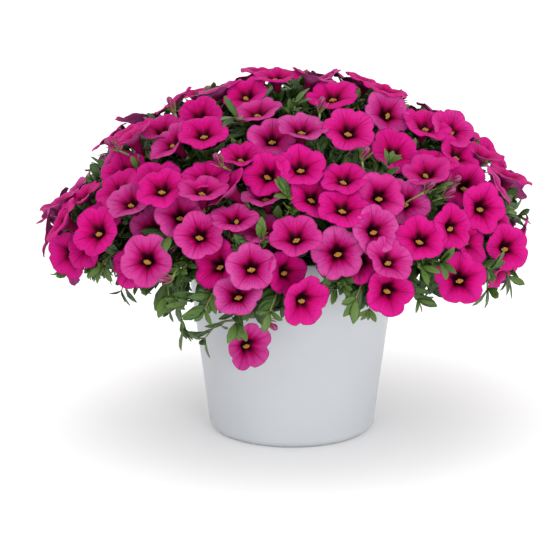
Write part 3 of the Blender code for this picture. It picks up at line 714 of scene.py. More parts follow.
def growLeaves(rng, shoots, others):
    # Leaves on the stems and twigs, turned out to the light, wherever they have room.
    grown, blades = [0] * len(shoots), []
    kept = [[] for _ in shoots]
    for _ in range(shootForm["leafTries"]):
        for k, (net, hosts, own) in enumerate(shoots):
            if grown[k] >= shootForm["leavesPerShoot"] or not hosts:
                continue
            face = hosts[int(rng.integers(len(hosts)))]
            at, room, normal = net.spot(face)
            out = domeNormal(at)
            spin = unit(np.cross(out, rng.normal(0, 1, 3)))
            rise = out * rng.uniform(*shootForm["leafRises"])
            stray = rng.uniform(-shootForm["leafStray"], shootForm["leafStray"])
            way = unit(spin + rise + [0, 0, stray])
            length = rng.uniform(*shootForm["leafLengths"])
            if way @ normal < shootForm["leafTurn"] or room < shootForm["leafSeat"]:
                continue
            axes = leafFrame(way, out + [0, 0, 0.6])
            blade = at + leafBlade(length) @ axes
            away = np.linalg.norm(blade.mean(0)[:2])
            overPot = away < potForm["rimRadius"] + shootForm["potRoom"]
            if overPot and blade[:, 2].min() < potForm["soilTop"] + shootForm["soilRoom"]:
                continue
            fat = Net()
            for z in (-shootForm["clearance"], shootForm["clearance"]):
                corners = fat.add([at + way * shootForm["leafStart"] + z * axes[2]])
                corners += fat.add(blade + z * axes[2] + way * 0.5 * mm)
                fat.faces += [tuple(corners[i] for i in f) for f in
                              ((0, 1, 5), (1, 2, 3), (1, 3, 5), (3, 4, 5))]
            nearby = others[k] + own + [t for trees in kept for t in trees]
            if crosses(fat.mesh(), nearby):
                continue
            net.add(blade)
            hosts.remove(face)
            grown[k] += 1
            blades.append((k, at, axes, length))
            kept[k].append(treeOf(*fat.mesh()))
    return blades


def growShoots(rng, places, faces, sizes, shoot, still):
    # Every shoot as one body: its stem, a twig and a calyx for each bloom, and its leaves.
    bases = places - faces * (bloomForm["tubeLength"] * sizes)[:, None]
    hubs = []
    for k in range(shootForm["shootCount"]):
        middle = bases[shoot == k].mean(0)
        hubs.append(middle - domeNormal(middle) * shootForm["hubDepth"])
    hubs = np.array(hubs)
    roots = placeRoots(hubs)
    nets, trees, free, stems = [], [], [], []
    for root, hub in zip(roots, hubs):
        taken = still + trees
        path, radii, _ = firstClear(stemChoices(root + [0, 0, shootForm["seat"]], hub), taken)
        stems.append((path, radii))
        net = Net()
        ring = net.ring(path[0], unit(path[1] - path[0]), radii[0], shootForm["stemSides"])
        net.faces.append(tuple(reversed(ring)))
        made = net.extend(ring, path, radii)
        nets.append(net)
        free.append(made[2 * shootForm["stemSides"] * shootForm["bareLengths"]:])
        trees.append(treeOf(*tubeMesh(path, radii, shootForm["stemSides"])))
    twigTrees, hosts, twigs = [], [], []
    for k, net in enumerate(nets):
        own = np.flatnonzero(shoot == k)
        reach = np.linalg.norm(bases[own] - hubs[k], axis=1)
        targets = [(bases[i], faces[i]) for i in own[np.argsort(reach)]]
        taken = still + trees[:k] + trees[k + 1:] + [t for ts in twigTrees for t in ts]
        made, ownTrees, rods = growTwigs(net, free[k], targets, taken)
        twigs += [(k, *rod) for rod in rods]
        twigTrees.append(ownTrees)
        hosts.append(made + free[k])
    shoots = [(net, host, own + [trees[k]])
              for k, (net, host, own) in enumerate(zip(nets, hosts, twigTrees))]
    others = [still + trees[:k] + trees[k + 1:] +
              [t for j, ts in enumerate(twigTrees) for t in ts if j != k]
              for k in range(len(nets))]
    blades = growLeaves(rng, shoots, others)
    return {"nets": nets, "stems": stems, "twigs": twigs, "leaves": blades}


def spreadBlooms(rng):
    # The blooms' places, faces and sizes, the shoot of each, and their shapes.
    places, faces = placeBlooms(rng)
    count = len(places)
    turns = rng.uniform(0, 2 * math.pi, count)
    sizes = rng.uniform(*bloomForm["bloomSizes"], count)
    shoot = gather(places - faces * bloomForm["tubeLength"], shootForm["shootCount"])
    links = bunchLinks(places, shoot)
    places, faces = settle(places, faces, turns, sizes, links)
    points, bloomFaces = bloomMesh()
    blooms = []
    for place, face, turn, size in zip(places, faces, turns, sizes):
        blooms.append((place + points @ frameFor(face, turn) * size, bloomFaces))
    return places, faces, turns, sizes, shoot, blooms


def joinTouching(places, trees):
    # Blooms whose petals touch are one body.
    body = list(range(len(places)))
    for i in range(len(places)):
        for j in range(i):
            near = np.linalg.norm(places[i] - places[j]) < spreadBy["neighbourReach"]
            if near and trees[i].overlap(trees[j]):
                body = [body[j] if b == body[i] else b for b in body]
    return body


# the same places as in the frame: every bloom, stem, twig and leaf
rng = np.random.default_rng(spreadBy["seed"])
places, faces, turns, sizes, shoot, blooms = spreadBlooms(rng)
bloomTrees = [treeOf(*bloom) for bloom in blooms]
bunchOf = joinTouching(places, bloomTrees)
bunchNames = {body: f"blooms_{k:02d}" for k, body in enumerate(sorted(set(bunchOf)), 1)}
potMesh = frame["nodes"]["pot"].data
potTree = BVHTree.FromPolygons([v.co for v in potMesh.vertices],
                               [p.vertices for p in potMesh.polygons])
grown = growShoots(rng, places, faces, sizes, shoot, [potTree] + bloomTrees)
for k, net in enumerate(grown["nets"], 1):
    low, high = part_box(f"shoot_{k:02d}")
    points = np.array(net.points)
    off = max(np.abs(points.min(0) - low).max(), np.abs(points.max(0) - high).max())
    if off > 0.2 * mm:
        print("shoot", k, "is off its node by", round(off / mm, 2), "mm")
print("places worked out:", len(blooms), "blooms in", len(bunchNames), "bunches")


# shader nodes, with a short way to add and link them
class Shader:
    def __init__(self, name):
        self.material = bpy.data.materials.new(name)
        self.material.use_nodes = True
        self.tree = self.material.node_tree
        self.surface = self.tree.nodes["Principled BSDF"]

    def add(self, kind, **inputs):
        node = self.tree.nodes.new(kind)
        for key, value in inputs.items():
            self.feed(node, key, value)
        return node

    def feed(self, node, key, value):
        byNumber = key[0] == "_" and key[1:].isdigit()
        socket = node.inputs[int(key[1:]) if byNumber else key]
        if isinstance(value, bpy.types.NodeSocket):
            self.tree.links.new(value, socket)
        else:
            socket.default_value = value

    def attribute(self, name):
        node = self.tree.nodes.new("ShaderNodeAttribute")
        node.attribute_name = name
        return node.outputs["Fac"]

    def here(self):
        return self.tree.nodes.new("ShaderNodeTexCoord").outputs["Object"]

    def step(self, value, low, high, toLow=0.0, toHigh=1.0):
        node = self.add("ShaderNodeMapRange")
        node.interpolation_type = "SMOOTHSTEP"
        for key, item in zip(("Value", "From Min", "From Max", "To Min", "To Max"),
                             (value, low, high, toLow, toHigh)):
            self.feed(node, key, item)
        return node.outputs["Result"]

    def math(self, kind, a, b=0.0):
        node = self.add("ShaderNodeMath", _0=a, _1=b)
        node.operation = kind
        return node.outputs[0]

    def mix(self, share, a, b, blend="MIX"):
        node = self.tree.nodes.new("ShaderNodeMix")
        node.data_type = "RGBA"
        node.blend_type = blend
        self.feed(node, "_0", share)
        for index, value in ((6, a), (7, b)):
            value = (*value, 1.0) if isinstance(value, tuple) else value
            self.feed(node, f"_{index}", value)
        return node.outputs[2]

    def noise(self, vector, scale, detail=3.0, roughness=0.55):
        node = self.add("ShaderNodeTexNoise", Vector=vector, Scale=scale, Detail=detail,
                        Roughness=roughness)
        return node.outputs["Fac"]

    def bump(self, height, distance, strength=0.6):
        node = self.add("ShaderNodeBump", Height=height, Distance=distance, Strength=strength)
        self.tree.links.new(node.outputs["Normal"], self.surface.inputs["Normal"])

    def finish(self, colour, roughness, **constants):
        self.feed(self.surface, "Base Color", colour)
        self.feed(self.surface, "Roughness", roughness)
        for key, value in constants.items():
            self.surface.inputs[key.replace("_", " ")].default_value = value
        return self.material


# petal colours, from the dark throat out to the rim; the near-black throat and crimson ring are the
# flower's own dark eye, made darker as painted shade for the funnel's depth
petalLook = {
    "throat": (0.016, 0.000, 0.004),
    "crimson": (0.23, 0.000, 0.036),
    "fresh": (0.41, 0.000, 0.118),
    "freshRim": (0.45, 0.010, 0.178),
    # lilac tones: the blooms' own tone, which varies at random, and partly a painted sheen of light
    # on the lobes
    "lilacToneAndSheen": (0.34, 0.005, 0.136),
    "lilacRimAndSheen": (0.42, 0.060, 0.235),
    "back": (0.47, 0.070, 0.27),
    "tube": (0.14, 0.002, 0.036),
    "vein": (0.13, 0.000, 0.042),
    "veinDepth": 0.80,
    "veinWidth": (0.015, 0.085),
    "lilacToneRange": (0.4, 0.95),
    "starReach": (0.06, 0.38),
    "ringReach": (0.12, 0.64),
}


def petalMaterial():
    s = Shader("petals")
    along, across = s.attribute("along"), s.attribute("across")
    tone, back = s.attribute("tone"), s.attribute("back")
    broad = s.noise(s.here(), 70.0)
    fine = s.add("ShaderNodeCombineXYZ", X=s.math("MULTIPLY", across, 3.6),
                 Y=s.math("MULTIPLY", along, 1.1), Z=s.math("MULTIPLY", tone, 37.0))
    streak = s.noise(fine.outputs[0], 2.2, 4.0, 0.7)
    # lilac per bloom and towards the rim: the blooms' own varied tone, partly a painted sheen
    lilacToneShare = s.step(tone, *petalLook["lilacToneRange"])
    outward = s.math("MULTIPLY", s.step(along, 0.2, 0.95), s.step(broad, 0.3, 0.7, 0.55, 1.0))
    colour = s.mix(outward, s.mix(lilacToneShare, petalLook["fresh"], petalLook["lilacToneAndSheen"]),
                   s.mix(lilacToneShare, petalLook["freshRim"], petalLook["lilacRimAndSheen"]))
    beside = s.math("MULTIPLY", across, s.math("ADD", along, 0.25))
    vein = s.step(beside, *petalLook["veinWidth"], 1.0, 0.0)
    vein = s.math("MULTIPLY", vein, s.step(along, 0.3, 1.0, 1.0, 0.35))
    thread = s.math("MULTIPLY", s.step(streak, 0.48, 0.62), s.step(along, 0.1, 0.95, 0.75, 0.35))
    both = s.math("MAXIMUM", vein, thread)
    colour = s.mix(s.math("MULTIPLY", both, petalLook["veinDepth"]), colour, petalLook["vein"])
    # crimson ring and near-black star round the throat: the flower's own dark eye, made darker
    # still as painted shade for the deep funnel
    ring = s.math("ADD", along, s.math("MULTIPLY", across, 0.16))
    ring = s.math("ADD", ring, s.math("MULTIPLY", s.math("SUBTRACT", broad, 0.5), 0.16))
    colour = s.mix(s.step(ring, *petalLook["ringReach"], 0.97, 0.0), colour, petalLook["crimson"])
    star = s.math("ADD", along, s.math("MULTIPLY", across, 0.15))
    front = s.mix(s.step(star, *petalLook["starReach"], 1.0, 0.0), colour, petalLook["throat"])
    behind = s.mix(s.math("MULTIPLY", both, 0.35), petalLook["back"], petalLook["crimson"])
    behind = s.mix(s.step(along, 0.0, 0.35, 1.0, 0.0), behind, petalLook["tube"])
    s.bump(s.math("ADD", s.math("MULTIPLY", both, -0.6), s.noise(s.here(), 900.0)), 0.25 * mm, 0.5)
    return s.finish(s.mix(back, front, behind), s.step(broad, 0.2, 0.8, 0.48, 0.62),
                    Specular_IOR_Level=0.03)


leafLook = {
    "dark": (0.016, 0.044, 0.008),
    "mid": (0.033, 0.084, 0.012),
    "young": (0.092, 0.160, 0.018),
    "rib": (0.080, 0.135, 0.034),
}


def leafMaterial():
    s = Shader("leaves")
    along, across, tone = s.attribute("along"), s.attribute("across"), s.attribute("tone")
    mottle = s.noise(s.here(), 160.0)
    colour = s.mix(s.step(tone, 0.05, 0.6), leafLook["dark"], leafLook["mid"])
    colour = s.mix(s.step(tone, 0.6, 1.0), colour, leafLook["young"])
    colour = s.mix(s.step(mottle, 0.35, 0.7, 0.0, 0.30), colour, leafLook["rib"])
    rib = s.step(across, 0.03, 0.12, 0.75, 0.0)
    side = s.add("ShaderNodeTexWave", Scale=7.0, Distortion=1.2, Vector=s.add(
        "ShaderNodeCombineXYZ", X=s.math("SUBTRACT", along, s.math("MULTIPLY", across, 0.22)),
        Y=s.math("MULTIPLY", tone, 11.0)).outputs[0])
    veins = s.math("MULTIPLY", s.step(side.outputs["Fac"], 0.86, 1.0), 0.28)
    lines = s.math("MAXIMUM", rib, veins)
    colour = s.mix(lines, colour, leafLook["rib"])
    s.bump(s.math("SUBTRACT", s.math("MULTIPLY", mottle, 0.6), lines), 0.3 * mm, 0.6)
    return s.finish(colour, s.step(mottle, 0.2, 0.8, 0.34, 0.5), Specular_IOR_Level=0.3)


stemLook = {
    "old": (0.11, 0.125, 0.035),
    "young": (0.20, 0.27, 0.07),
    "bronze": (0.16, 0.085, 0.035),
}


def stemMaterial():
    s = Shader("stems")
    tone = s.attribute("tone")
    speck = s.noise(s.here(), 420.0)
    colour = s.mix(s.step(tone, 0.0, 1.0), stemLook["old"], stemLook["young"])
    colour = s.mix(s.step(speck, 0.45, 0.75, 0.0, 0.5), colour, stemLook["bronze"])
    s.bump(speck, 0.15 * mm, 0.7)
    return s.finish(colour, s.step(speck, 0.2, 0.8, 0.45, 0.6))


def sepalMaterial():
    s = Shader("sepals")
    along, across = s.attribute("along"), s.attribute("across")
    speck = s.noise(s.here(), 300.0)
    colour = s.mix(s.step(along, 0.15, 0.9), stemLook["young"], stemLook["bronze"])
    colour = s.mix(s.step(across, 0.05, 0.3, 0.6, 0.0), colour, leafLook["mid"])
    s.bump(speck, 0.15 * mm, 0.6)
    return s.finish(colour, s.step(speck, 0.2, 0.8, 0.45, 0.6))


budLook = {"ridge": (0.11, 0.005, 0.038), "fold": (0.27, 0.024, 0.12)}


def budMaterial():
    s = Shader("buds")
    along, across = s.attribute("along"), s.attribute("across")
    colour = s.mix(s.step(across, 0.25, 0.6), budLook["ridge"], budLook["fold"])
    colour = s.mix(s.step(along, 0.0, 0.25, 0.7, 0.0), colour, stemLook["young"])
    fuzz = s.noise(s.here(), 800.0)
    s.bump(fuzz, 0.2 * mm, 0.6)
    return s.finish(colour, s.step(fuzz, 0.2, 0.8, 0.5, 0.65))


antherLook = {"dark": (0.20, 0.080, 0.006), "light": (0.43, 0.20, 0.018)}


def antherMaterial():
    s = Shader("anthers")
    dust = s.noise(s.here(), 2200.0)
    colour = s.mix(s.step(dust, 0.3, 0.7), antherLook["dark"], antherLook["light"])
    s.bump(dust, 0.2 * mm, 0.9)
    return s.finish(colour, s.step(dust, 0.2, 0.8, 0.7, 0.9))


potLook = {"colour": (0.435, 0.45, 0.475), "shade": (0.42, 0.435, 0.46), "grain": 1500.0}


def potMaterial():
    s = Shader("potShell")
    cloud = s.noise(s.here(), 18.0, 2.0)
    grain = s.noise(s.here(), potLook["grain"], 2.0)
    colour = s.mix(s.step(cloud, 0.3, 0.7), potLook["colour"], potLook["shade"])
    s.bump(grain, 0.05 * mm, 0.35)
    return s.finish(colour, s.step(cloud, 0.3, 0.7, 0.36, 0.44), Specular_IOR_Level=0.5)


soilLook = {"dark": (0.020, 0.013, 0.008), "light": (0.075, 0.048, 0.028)}


def soilMaterial():
    s = Shader("soilCrumb")
    crumb, lump = s.noise(s.here(), 700.0, 5.0), s.noise(s.here(), 130.0)
    colour = s.mix(s.step(lump, 0.3, 0.7), soilLook["dark"], soilLook["light"])
    s.bump(crumb, 1.2 * mm, 1.0)
    return s.finish(colour, s.step(crumb, 0.2, 0.8, 0.85, 1.0))


petals, leaves, stems, sepals = petalMaterial(), leafMaterial(), stemMaterial(), sepalMaterial()
buds, anthers, potSatin, soilDark = budMaterial(), antherMaterial(), potMaterial(), soilMaterial()
print("materials made")


def newObject(name, data):
    piece = bpy.data.objects.new(name, data)
    bpy.context.scene.collection.objects.link(piece)
    return piece


# gathers points, faces and what the materials read, and makes one object of them
class Patch:
    def __init__(self, *materials):
        self.materials = materials
        self.points, self.faces, self.owner = [], [], []
        self.read = {"along": [], "across": [], "tone": [], "back": []}
        self.count = 0

    def add(self, points, faces, material, along=0.0, across=0.0, tone=0.5, back=0.0):
        points = points.reshape(-1, 3)
        self.points.append(points)
        self.faces += [[k + self.count for k in face] for face in faces]
        self.owner += [self.materials.index(material)] * len(faces)
        for key, value in (("along", along), ("across", across), ("tone", tone), ("back", back)):
            self.read[key].append(np.broadcast_to(np.ravel(value), (len(points),)))
        self.count += len(points)

    def make(self, name, slot):
        mesh = bpy.data.meshes.new(name)
        mesh.from_pydata(np.vstack(self.points).tolist(), [], self.faces)
        for key, rows in self.read.items():
            layer = mesh.attributes.new(key, "FLOAT", "POINT")
            layer.data.foreach_set("value", np.concatenate(rows).astype(np.float32))
        for material in self.materials:
            mesh.materials.append(material)
        mesh.polygons.foreach_set("material_index", self.owner)
        mesh.shade_smooth()
        piece = newObject(name, mesh)
        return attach(piece, "root")


# faces of rings of points, each closed round, with a point at both ends
def ringFaces(rings, sides):
    faces = []
    for i in range(rings - 1):
        for j in range(sides):
            n = (j + 1) % sides
            faces.append((i * sides + j, (i + 1) * sides + j, (i + 1) * sides + n, i * sides + n))
    first, last = rings * sides, rings * sides + 1
    for j in range(sides):
        n = (j + 1) % sides
        faces.append((first, j, n))
        faces.append((last, (rings - 1) * sides + n, (rings - 1) * sides + j))
    return faces


# the same for rings that rise from the first point to the last
def rodFaces(rings, sides):
    return [tuple(reversed(face)) for face in ringFaces(rings, sides)]


# a fine bloom: the front from the throat's floor to the rim, and the back down to the tube's end.
# Its profiles are in millimetres.
fineBloom = {
    "sides": 40,
    "throat": ((1.2, -8.9, -0.35), (2.0, -8.3, -0.25), (2.6, -6.9, -0.12)),   # radius, level, along
    "front": (0.0, 0.09, 0.2, 0.34, 0.5, 0.66, 0.82, 0.93, 1.0),
    "fall": (-6.6, -4.7, -3.35, -2.3, -1.4, -0.75, -0.3, -0.1, -0.1),
    "back": ((0.97, 0.6), (0.75, 1), (0.45, 1), (0.2, 1)),   # share, part of the thickness
    "tube": ((3.9, -6.6), (2.9, -9.0), (2.1, -12.5), (1.5, -15.8)),
    "ends": (-9.2, -16),
    "mouth": 3.1 * mm,
    "thickness": 0.35 * mm,
    "ruffle": 1.0 * mm,
    "waves": ((5, 0.55), (8, 0.45), (13, 0.25)),
    "ruffleGrowth": 2.2,
    "oval": 0.02,
    "curl": 2.0 * mm,
    "curls": (-0.3, 1.0),
    "curlFrom": 0.55,
    "crease": 0.9 * mm,
    "notch": 0.5,
    "tip": 0.35 * mm,
    "tipDrop": 0.45 * mm,
}


def bloomPoints(draw):
    form, sides = fineBloom, fineBloom["sides"]
    turn = spokes(sides)
    lobe = np.abs(np.sin(2.5 * turn))
    peak = np.maximum(0, 8 * lobe - 7)
    wave = draw.uniform(0, 2 * math.pi, 4)
    reach = bloomForm["lobeRadius"] + 0.2 * mm - bloomForm["notchRadius"]
    rim = bloomForm["notchRadius"] + reach * lobe ** form["notch"] + form["tip"] * peak
    rim = rim * (1 + form["oval"] * np.sin(2 * turn + wave[0]))
    ruffle = form["ruffle"] * sum(high * np.sin(count * turn + start)
                                  for (count, high), start in zip(form["waves"], wave[1:]))
    curl = form["curl"] * draw.uniform(*form["curls"])
    crease = -form["crease"] * (1 - lobe) ** 2 - form["tipDrop"] * peak

    def limb(share):
        r = form["mouth"] + (rim - form["mouth"]) * share
        fall = np.interp(share, form["front"], form["fall"]) * mm
        bend = curl * max(0.0, share - form["curlFrom"]) ** 2 * 4
        return hoop(turn, r, fall + ruffle * share ** form["ruffleGrowth"] + crease * share - bend)

    rings, along, back = [], [], []
    for r, z, share in form["throat"]:
        rings.append(hoop(turn, r * mm, z * mm))
        along.append(share)
        back.append(0)
    for share in form["front"]:
        rings.append(limb(share))
        along.append(share)
        back.append(0)
    for share, thick in form["back"]:
        rings.append(limb(share) - [0, 0, form["thickness"] * thick])
        along.append(share)
        back.append(1)
    top = form["tube"][0][1]
    for r, z in form["tube"]:
        rings.append(hoop(turn, r * mm, z * mm))
        along.append(0.05 * (z - top) / 9)
        back.append(1)
    ends = np.array([[0, 0, z * mm] for z in form["ends"]])
    points = np.vstack(rings + [ends])
    across = np.abs(np.mod(turn / (2 * math.pi / 5), 1) - 0.5) * 2   # 1 at a notch, 0 on a midline
    across = np.append(np.tile(across, len(rings)), [0, 0])
    along = np.append(np.repeat(along, sides), [-0.4, -0.3])
    back = np.append(np.repeat(back, sides), [0, 1])
    return points, ringFaces(len(rings), sides), along, across, back


# a small round body, such as an anther
def bead(centre, axes, radii):
    sides, rings = 6, 3
    rows = []
    for k in range(1, rings + 1):
        a = k * math.pi / (rings + 1)
        rows.append(hoop(spokes(sides), math.sin(a), -math.cos(a)))
    points = np.vstack(rows + [[[0, 0, -1], [0, 0, 1]]]) * radii
    return centre + points @ axes, rodFaces(rings, sides)


antherForm = {
    "outs": (1.9 * mm, 1.7 * mm, 1.8 * mm, 1.7 * mm, 1.9 * mm, 0.6 * mm, 0.8 * mm),
    "turns": (-0.95, -0.5, 0.0, 0.5, 0.95, -0.6, 0.7),
    "depth": -4.9 * mm,
    "raise": 0.4 * mm,
    "stray": 0.25,
    "radii": (1.05 * mm, 0.95 * mm, 0.75 * mm),
    "seed": 3,
}


def dressBlooms():
    draw = np.random.default_rng(antherForm["seed"])
    for body, name in bunchNames.items():
        patch = Patch(petals, anthers)
        for i in np.flatnonzero(np.array(bunchOf) == body):
            axes = frameFor(faces[i], turns[i])
            tone = draw.uniform(0, 1)
            points, mesh, along, across, back = bloomPoints(draw)
            patch.add(places[i] + points @ axes * sizes[i], mesh, petals, along, across, tone, back)
            low = unit(np.array([0, 0, -1.0]) + antherForm["stray"] * draw.normal(0, 1, 3))
            low = unit(low - faces[i] * (low @ faces[i]))
            beside = np.cross(faces[i], low)
            for k, (out, a) in enumerate(zip(antherForm["outs"], antherForm["turns"])):
                spoke = low * math.cos(a) + beside * math.sin(a)
                level = antherForm["depth"] + (k % 2) * antherForm["raise"]
                at = places[i] + spoke * out + faces[i] * level
                own = np.array([np.cross(faces[i], spoke), spoke, faces[i]])
                patch.add(*bead(at, own, antherForm["radii"]), anthers)
        piece = patch.make(name.replace("_", "") + "Fine", "petals")
        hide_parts(name)


# a rod through a line of points, smoothed
def smoothPath(path, steps):
    path = np.array(path)
    ends = np.vstack([2 * path[0] - path[1], path, 2 * path[-1] - path[-2]])
    out = []
    for k in range(len(path) - 1):
        a, b, c, d = ends[k:k + 4]
        for t in np.arange(steps) / steps:
            out.append(0.5 * (2 * b + (c - a) * t + (2 * a - 5 * b + 4 * c - d) * t ** 2 +
                              (3 * b - a - 3 * c + d) * t ** 3))
    return np.array(out + [path[-1]])


def addRod(patch, path, radii, material, sides=6, steps=4, tone=0.5):
    line = smoothPath(path, steps)
    wide = np.interp(np.linspace(0, len(radii) - 1, len(line)), range(len(radii)), radii)
    ways = np.gradient(line, axis=0)
    turn = spokes(sides)
    side = np.cross(ways[0], [0.31, 0.95, 0.1])
    rows = []
    for centre, way, radius in zip(line, ways, wide):
        way = unit(way)
        side = unit(side - way * (side @ way))
        spoke = np.cos(turn)[:, None] * side + np.sin(turn)[:, None] * np.cross(way, side)
        rows.append(centre + radius * spoke)
    points = np.vstack(rows + [[line[0], line[-1]]])
    patch.add(points, rodFaces(len(rows), sides), material, tone=tone)
    return line


# a thin blade with a rib, folded and drooping a little
fineLeaf = {
    "shares": (0.0, 0.22, 0.5, 0.78, 0.96),
    "widest": 1.25,         # above 1, the widest place lies past the middle
    "blunt": 0.75,
    "foot": 0.10,
    "least": 0.25 * mm,
    "ripples": 7,
    "thickness": 0.45 * mm,
}


def addBlade(patch, at, axes, length, width, material, tone, fold=0.25, droop=0.15, wave=0.0):
    t = np.array(fineLeaf["shares"])
    shape = np.sin(math.pi * t ** fineLeaf["widest"]) ** fineLeaf["blunt"]
    half = np.maximum(width / 2 * (shape + fineLeaf["foot"] * (1 - t)), fineLeaf["least"])
    side = np.array([-1, -0.5, 0, 0.5, 1, 0])
    lift = np.array([0, 1, 1, 1, 0, -1]) * fineLeaf["thickness"] / 2
    y = half[:, None] * side
    ripple = wave * width * np.sin(t[:, None] * fineLeaf["ripples"] + tone * 9) * side ** 2
    z = fold * np.abs(y) - droop * length * t[:, None] ** 2 + lift + ripple
    x = length * t[:, None] * np.ones(6)
    ends = [[0, 0, 0], [length, 0, -droop * length]]
    points = np.vstack([np.stack([x, y, z], axis=2).reshape(-1, 3), ends])
    along = np.append(np.repeat(t, 6), [0, 1])
    across = np.append(np.tile(np.abs(side), len(t)), [0, 0])
    patch.add(at + points @ axes, rodFaces(len(t), 6), material, along, across, tone)


def leafClear(at, axes, length, width, trees):
    # Whether a flat diamond of the leaf's size crosses no bloom.
    corners = np.array([[0.1, 0, 0.0], [0.5, 0.5, 0.0], [1, 0, -0.15], [0.5, -0.5, 0.0]])
    corners = at + corners * [length, width, length] @ axes
    flat = treeOf(corners, [(0, 1, 2), (0, 2, 3)])
    return not any(flat.overlap(tree) for tree in trees)


sepalForm = {
    "count": 5,
    "lengths": (7 * mm, 9 * mm),
    "width": 1.9 * mm,
    "out": 0.9 * mm,
    "opens": (0.28, 0.55),
    "stray": 0.2,
}


def addSepals(patch, draw, base, face):
    foot = base - face * shootForm["calyxLength"]
    side, other = squareTo(face)
    for k in range(sepalForm["count"]):
        stray = draw.uniform(-sepalForm["stray"], sepalForm["stray"])
        a = k * 2 * math.pi / sepalForm["count"] + stray
        out = side * math.cos(a) + other * math.sin(a)
        way = unit(face + out * draw.uniform(*sepalForm["opens"]))
        axes = np.array([way, np.cross(out, way), unit(np.cross(way, np.cross(out, way)))])
        addBlade(patch, foot + out * sepalForm["out"], axes, draw.uniform(*sepalForm["lengths"]),
                 sepalForm["width"], sepals, draw.uniform(0, 1), fold=0.1, droop=-0.04)


# leaves set along a twig, turned out to the light, where they clear the blooms
leafSpread = {
    "perTwig": 8,
    "perStem": 22,
    "lengths": (11 * mm, 19 * mm),
    "width": 0.38,
    "widths": (0.85, 1.2),
    "last": 0.97,
    "tries": 5,
    "aside": 0.6,
    "ahead": 0.5,
    "rises": (0.0, 0.7),
    "folds": (0.1, 0.35),
    "droops": (0.02, 0.25),
    "wave": 0.06,
    "shadeStray": 0.16,
    "low": 98 * mm,
    "level": 0.97,
    "potRoom": 9 * mm,
    "underRim": 14 * mm,
    "seed": 5,
}


def leavesAlong(patch, draw, line, count, start, trees, tone, free=False):
    last = len(line) - 1
    for k in range(count):
        for _ in range(leafSpread["tries"]):
            share = start + (leafSpread["last"] - start) * (k + draw.uniform(0, 1)) / count
            spot = int(share * last)
            at = line[spot]
            step = unit(line[min(last, spot + 1)] - line[0] + 1e-9)
            out = domeNormal(at)
            spin = draw.normal(0, 1, 3)
            spin = unit(spin - out * (spin @ out))
            way = unit(leafSpread["aside"] * spin + leafSpread["ahead"] * step +
                       out * draw.uniform(*leafSpread["rises"]))
            axes = leafFrame(way, out + [0, 0, 0.5])
            length = draw.uniform(*leafSpread["lengths"])
            width = length * leafSpread["width"] * draw.uniform(*leafSpread["widths"])
            end = at + way * length
            overPot = np.linalg.norm(at[:2]) < potForm["rimRadius"] + leafSpread["potRoom"]
            inPot = overPot and end[2] < potForm["height"] - leafSpread["underRim"]
            outside = end[2] < leafSpread["low"] or domeLevel(end) > leafSpread["level"]
            if inPot or (outside and not free) or not leafClear(at, axes, length, width, trees):
                continue
            shade = float(np.clip(tone + draw.normal(0, leafSpread["shadeStray"]), 0, 1))
            fold, droop = draw.uniform(*leafSpread["folds"]), draw.uniform(*leafSpread["droops"])
            addBlade(patch, at, axes, length, width, leaves, shade, fold, droop, leafSpread["wave"])
            break


def nearTrees(point, reach):
    near = np.flatnonzero(np.linalg.norm(places - point, axis=1) < reach)
    return [bloomTrees[i] for i in near]


# green sprigs with no bloom: an outer layer between the blooms and a darker one under them
sprigForm = {
    "radius": 0.7 * mm,
    "radii": (0.8 * mm, 0.7 * mm, 0.4 * mm),
    "share": 1.25,
    "tries": 5,
    "stray": 0.05,
    "bow": 6 * mm,
    "bowStray": 2.5 * mm,
    "nearby": 22 * mm,
    "firstLeaf": 0.35,
    "tipLeaves": 4,         # the young leaves at the tip
    "tipLengths": (7 * mm, 12 * mm),
    "freeLengths": (11 * mm, 16 * mm),
    "tipOpens": (0.5, 1.1),
    "younger": 0.3,
    "potRoom": 6 * mm,
    "footCost": 40 * mm,
}
outerSprigs = {
    "count": 200,
    "under": (10 * mm, 20 * mm),
    "room": 8 * mm,
    "leaves": 7,
    "from": 26 * mm,
    "tone": (0.3, 0.7),
}
innerSprigs = {
    "count": 420,
    "under": (16 * mm, 40 * mm),
    "room": 0.0,
    "leaves": 6,
    "from": 12 * mm,
    "tone": (0.0, 0.3),
}


def addSprig(patch, draw, start, tip, tone, count, free=False):
    # A free sprig hangs where the photograph shows it, with larger leaves at its tip.
    trees = nearTrees((start + tip) / 2, np.linalg.norm(tip - start) / 2 + sprigForm["nearby"])
    bow = domeNormal(tip) * sprigForm["bow"] + draw.normal(0, sprigForm["bowStray"], 3)
    path = [start, (start + tip) / 2 + bow * [1, 1, -0.5], tip]
    if crosses(tubeMesh(np.array(path), [sprigForm["radius"]] * 3, 3), trees):
        return False
    line = addRod(patch, path, sprigForm["radii"], stems, 5, 5, tone)
    leavesAlong(patch, draw, line, count, sprigForm["firstLeaf"], trees, tone, free)
    way = unit(line[-1] - line[-3])
    for _ in range(sprigForm["tipLeaves"]):
        spin = unit(np.cross(way, draw.normal(0, 1, 3)))
        outward = unit(way + spin * draw.uniform(*sprigForm["tipOpens"]))
        axes = leafFrame(outward, domeNormal(tip) + [0, 0, 0.3])
        length = draw.uniform(*sprigForm["freeLengths" if free else "tipLengths"])
        if leafClear(tip, axes, length, length * 0.34, trees):
            shade = min(1.0, tone + sprigForm["younger"])
            addBlade(patch, tip, axes, length, length * 0.4, leaves, shade, 0.3, 0.1)
    return True


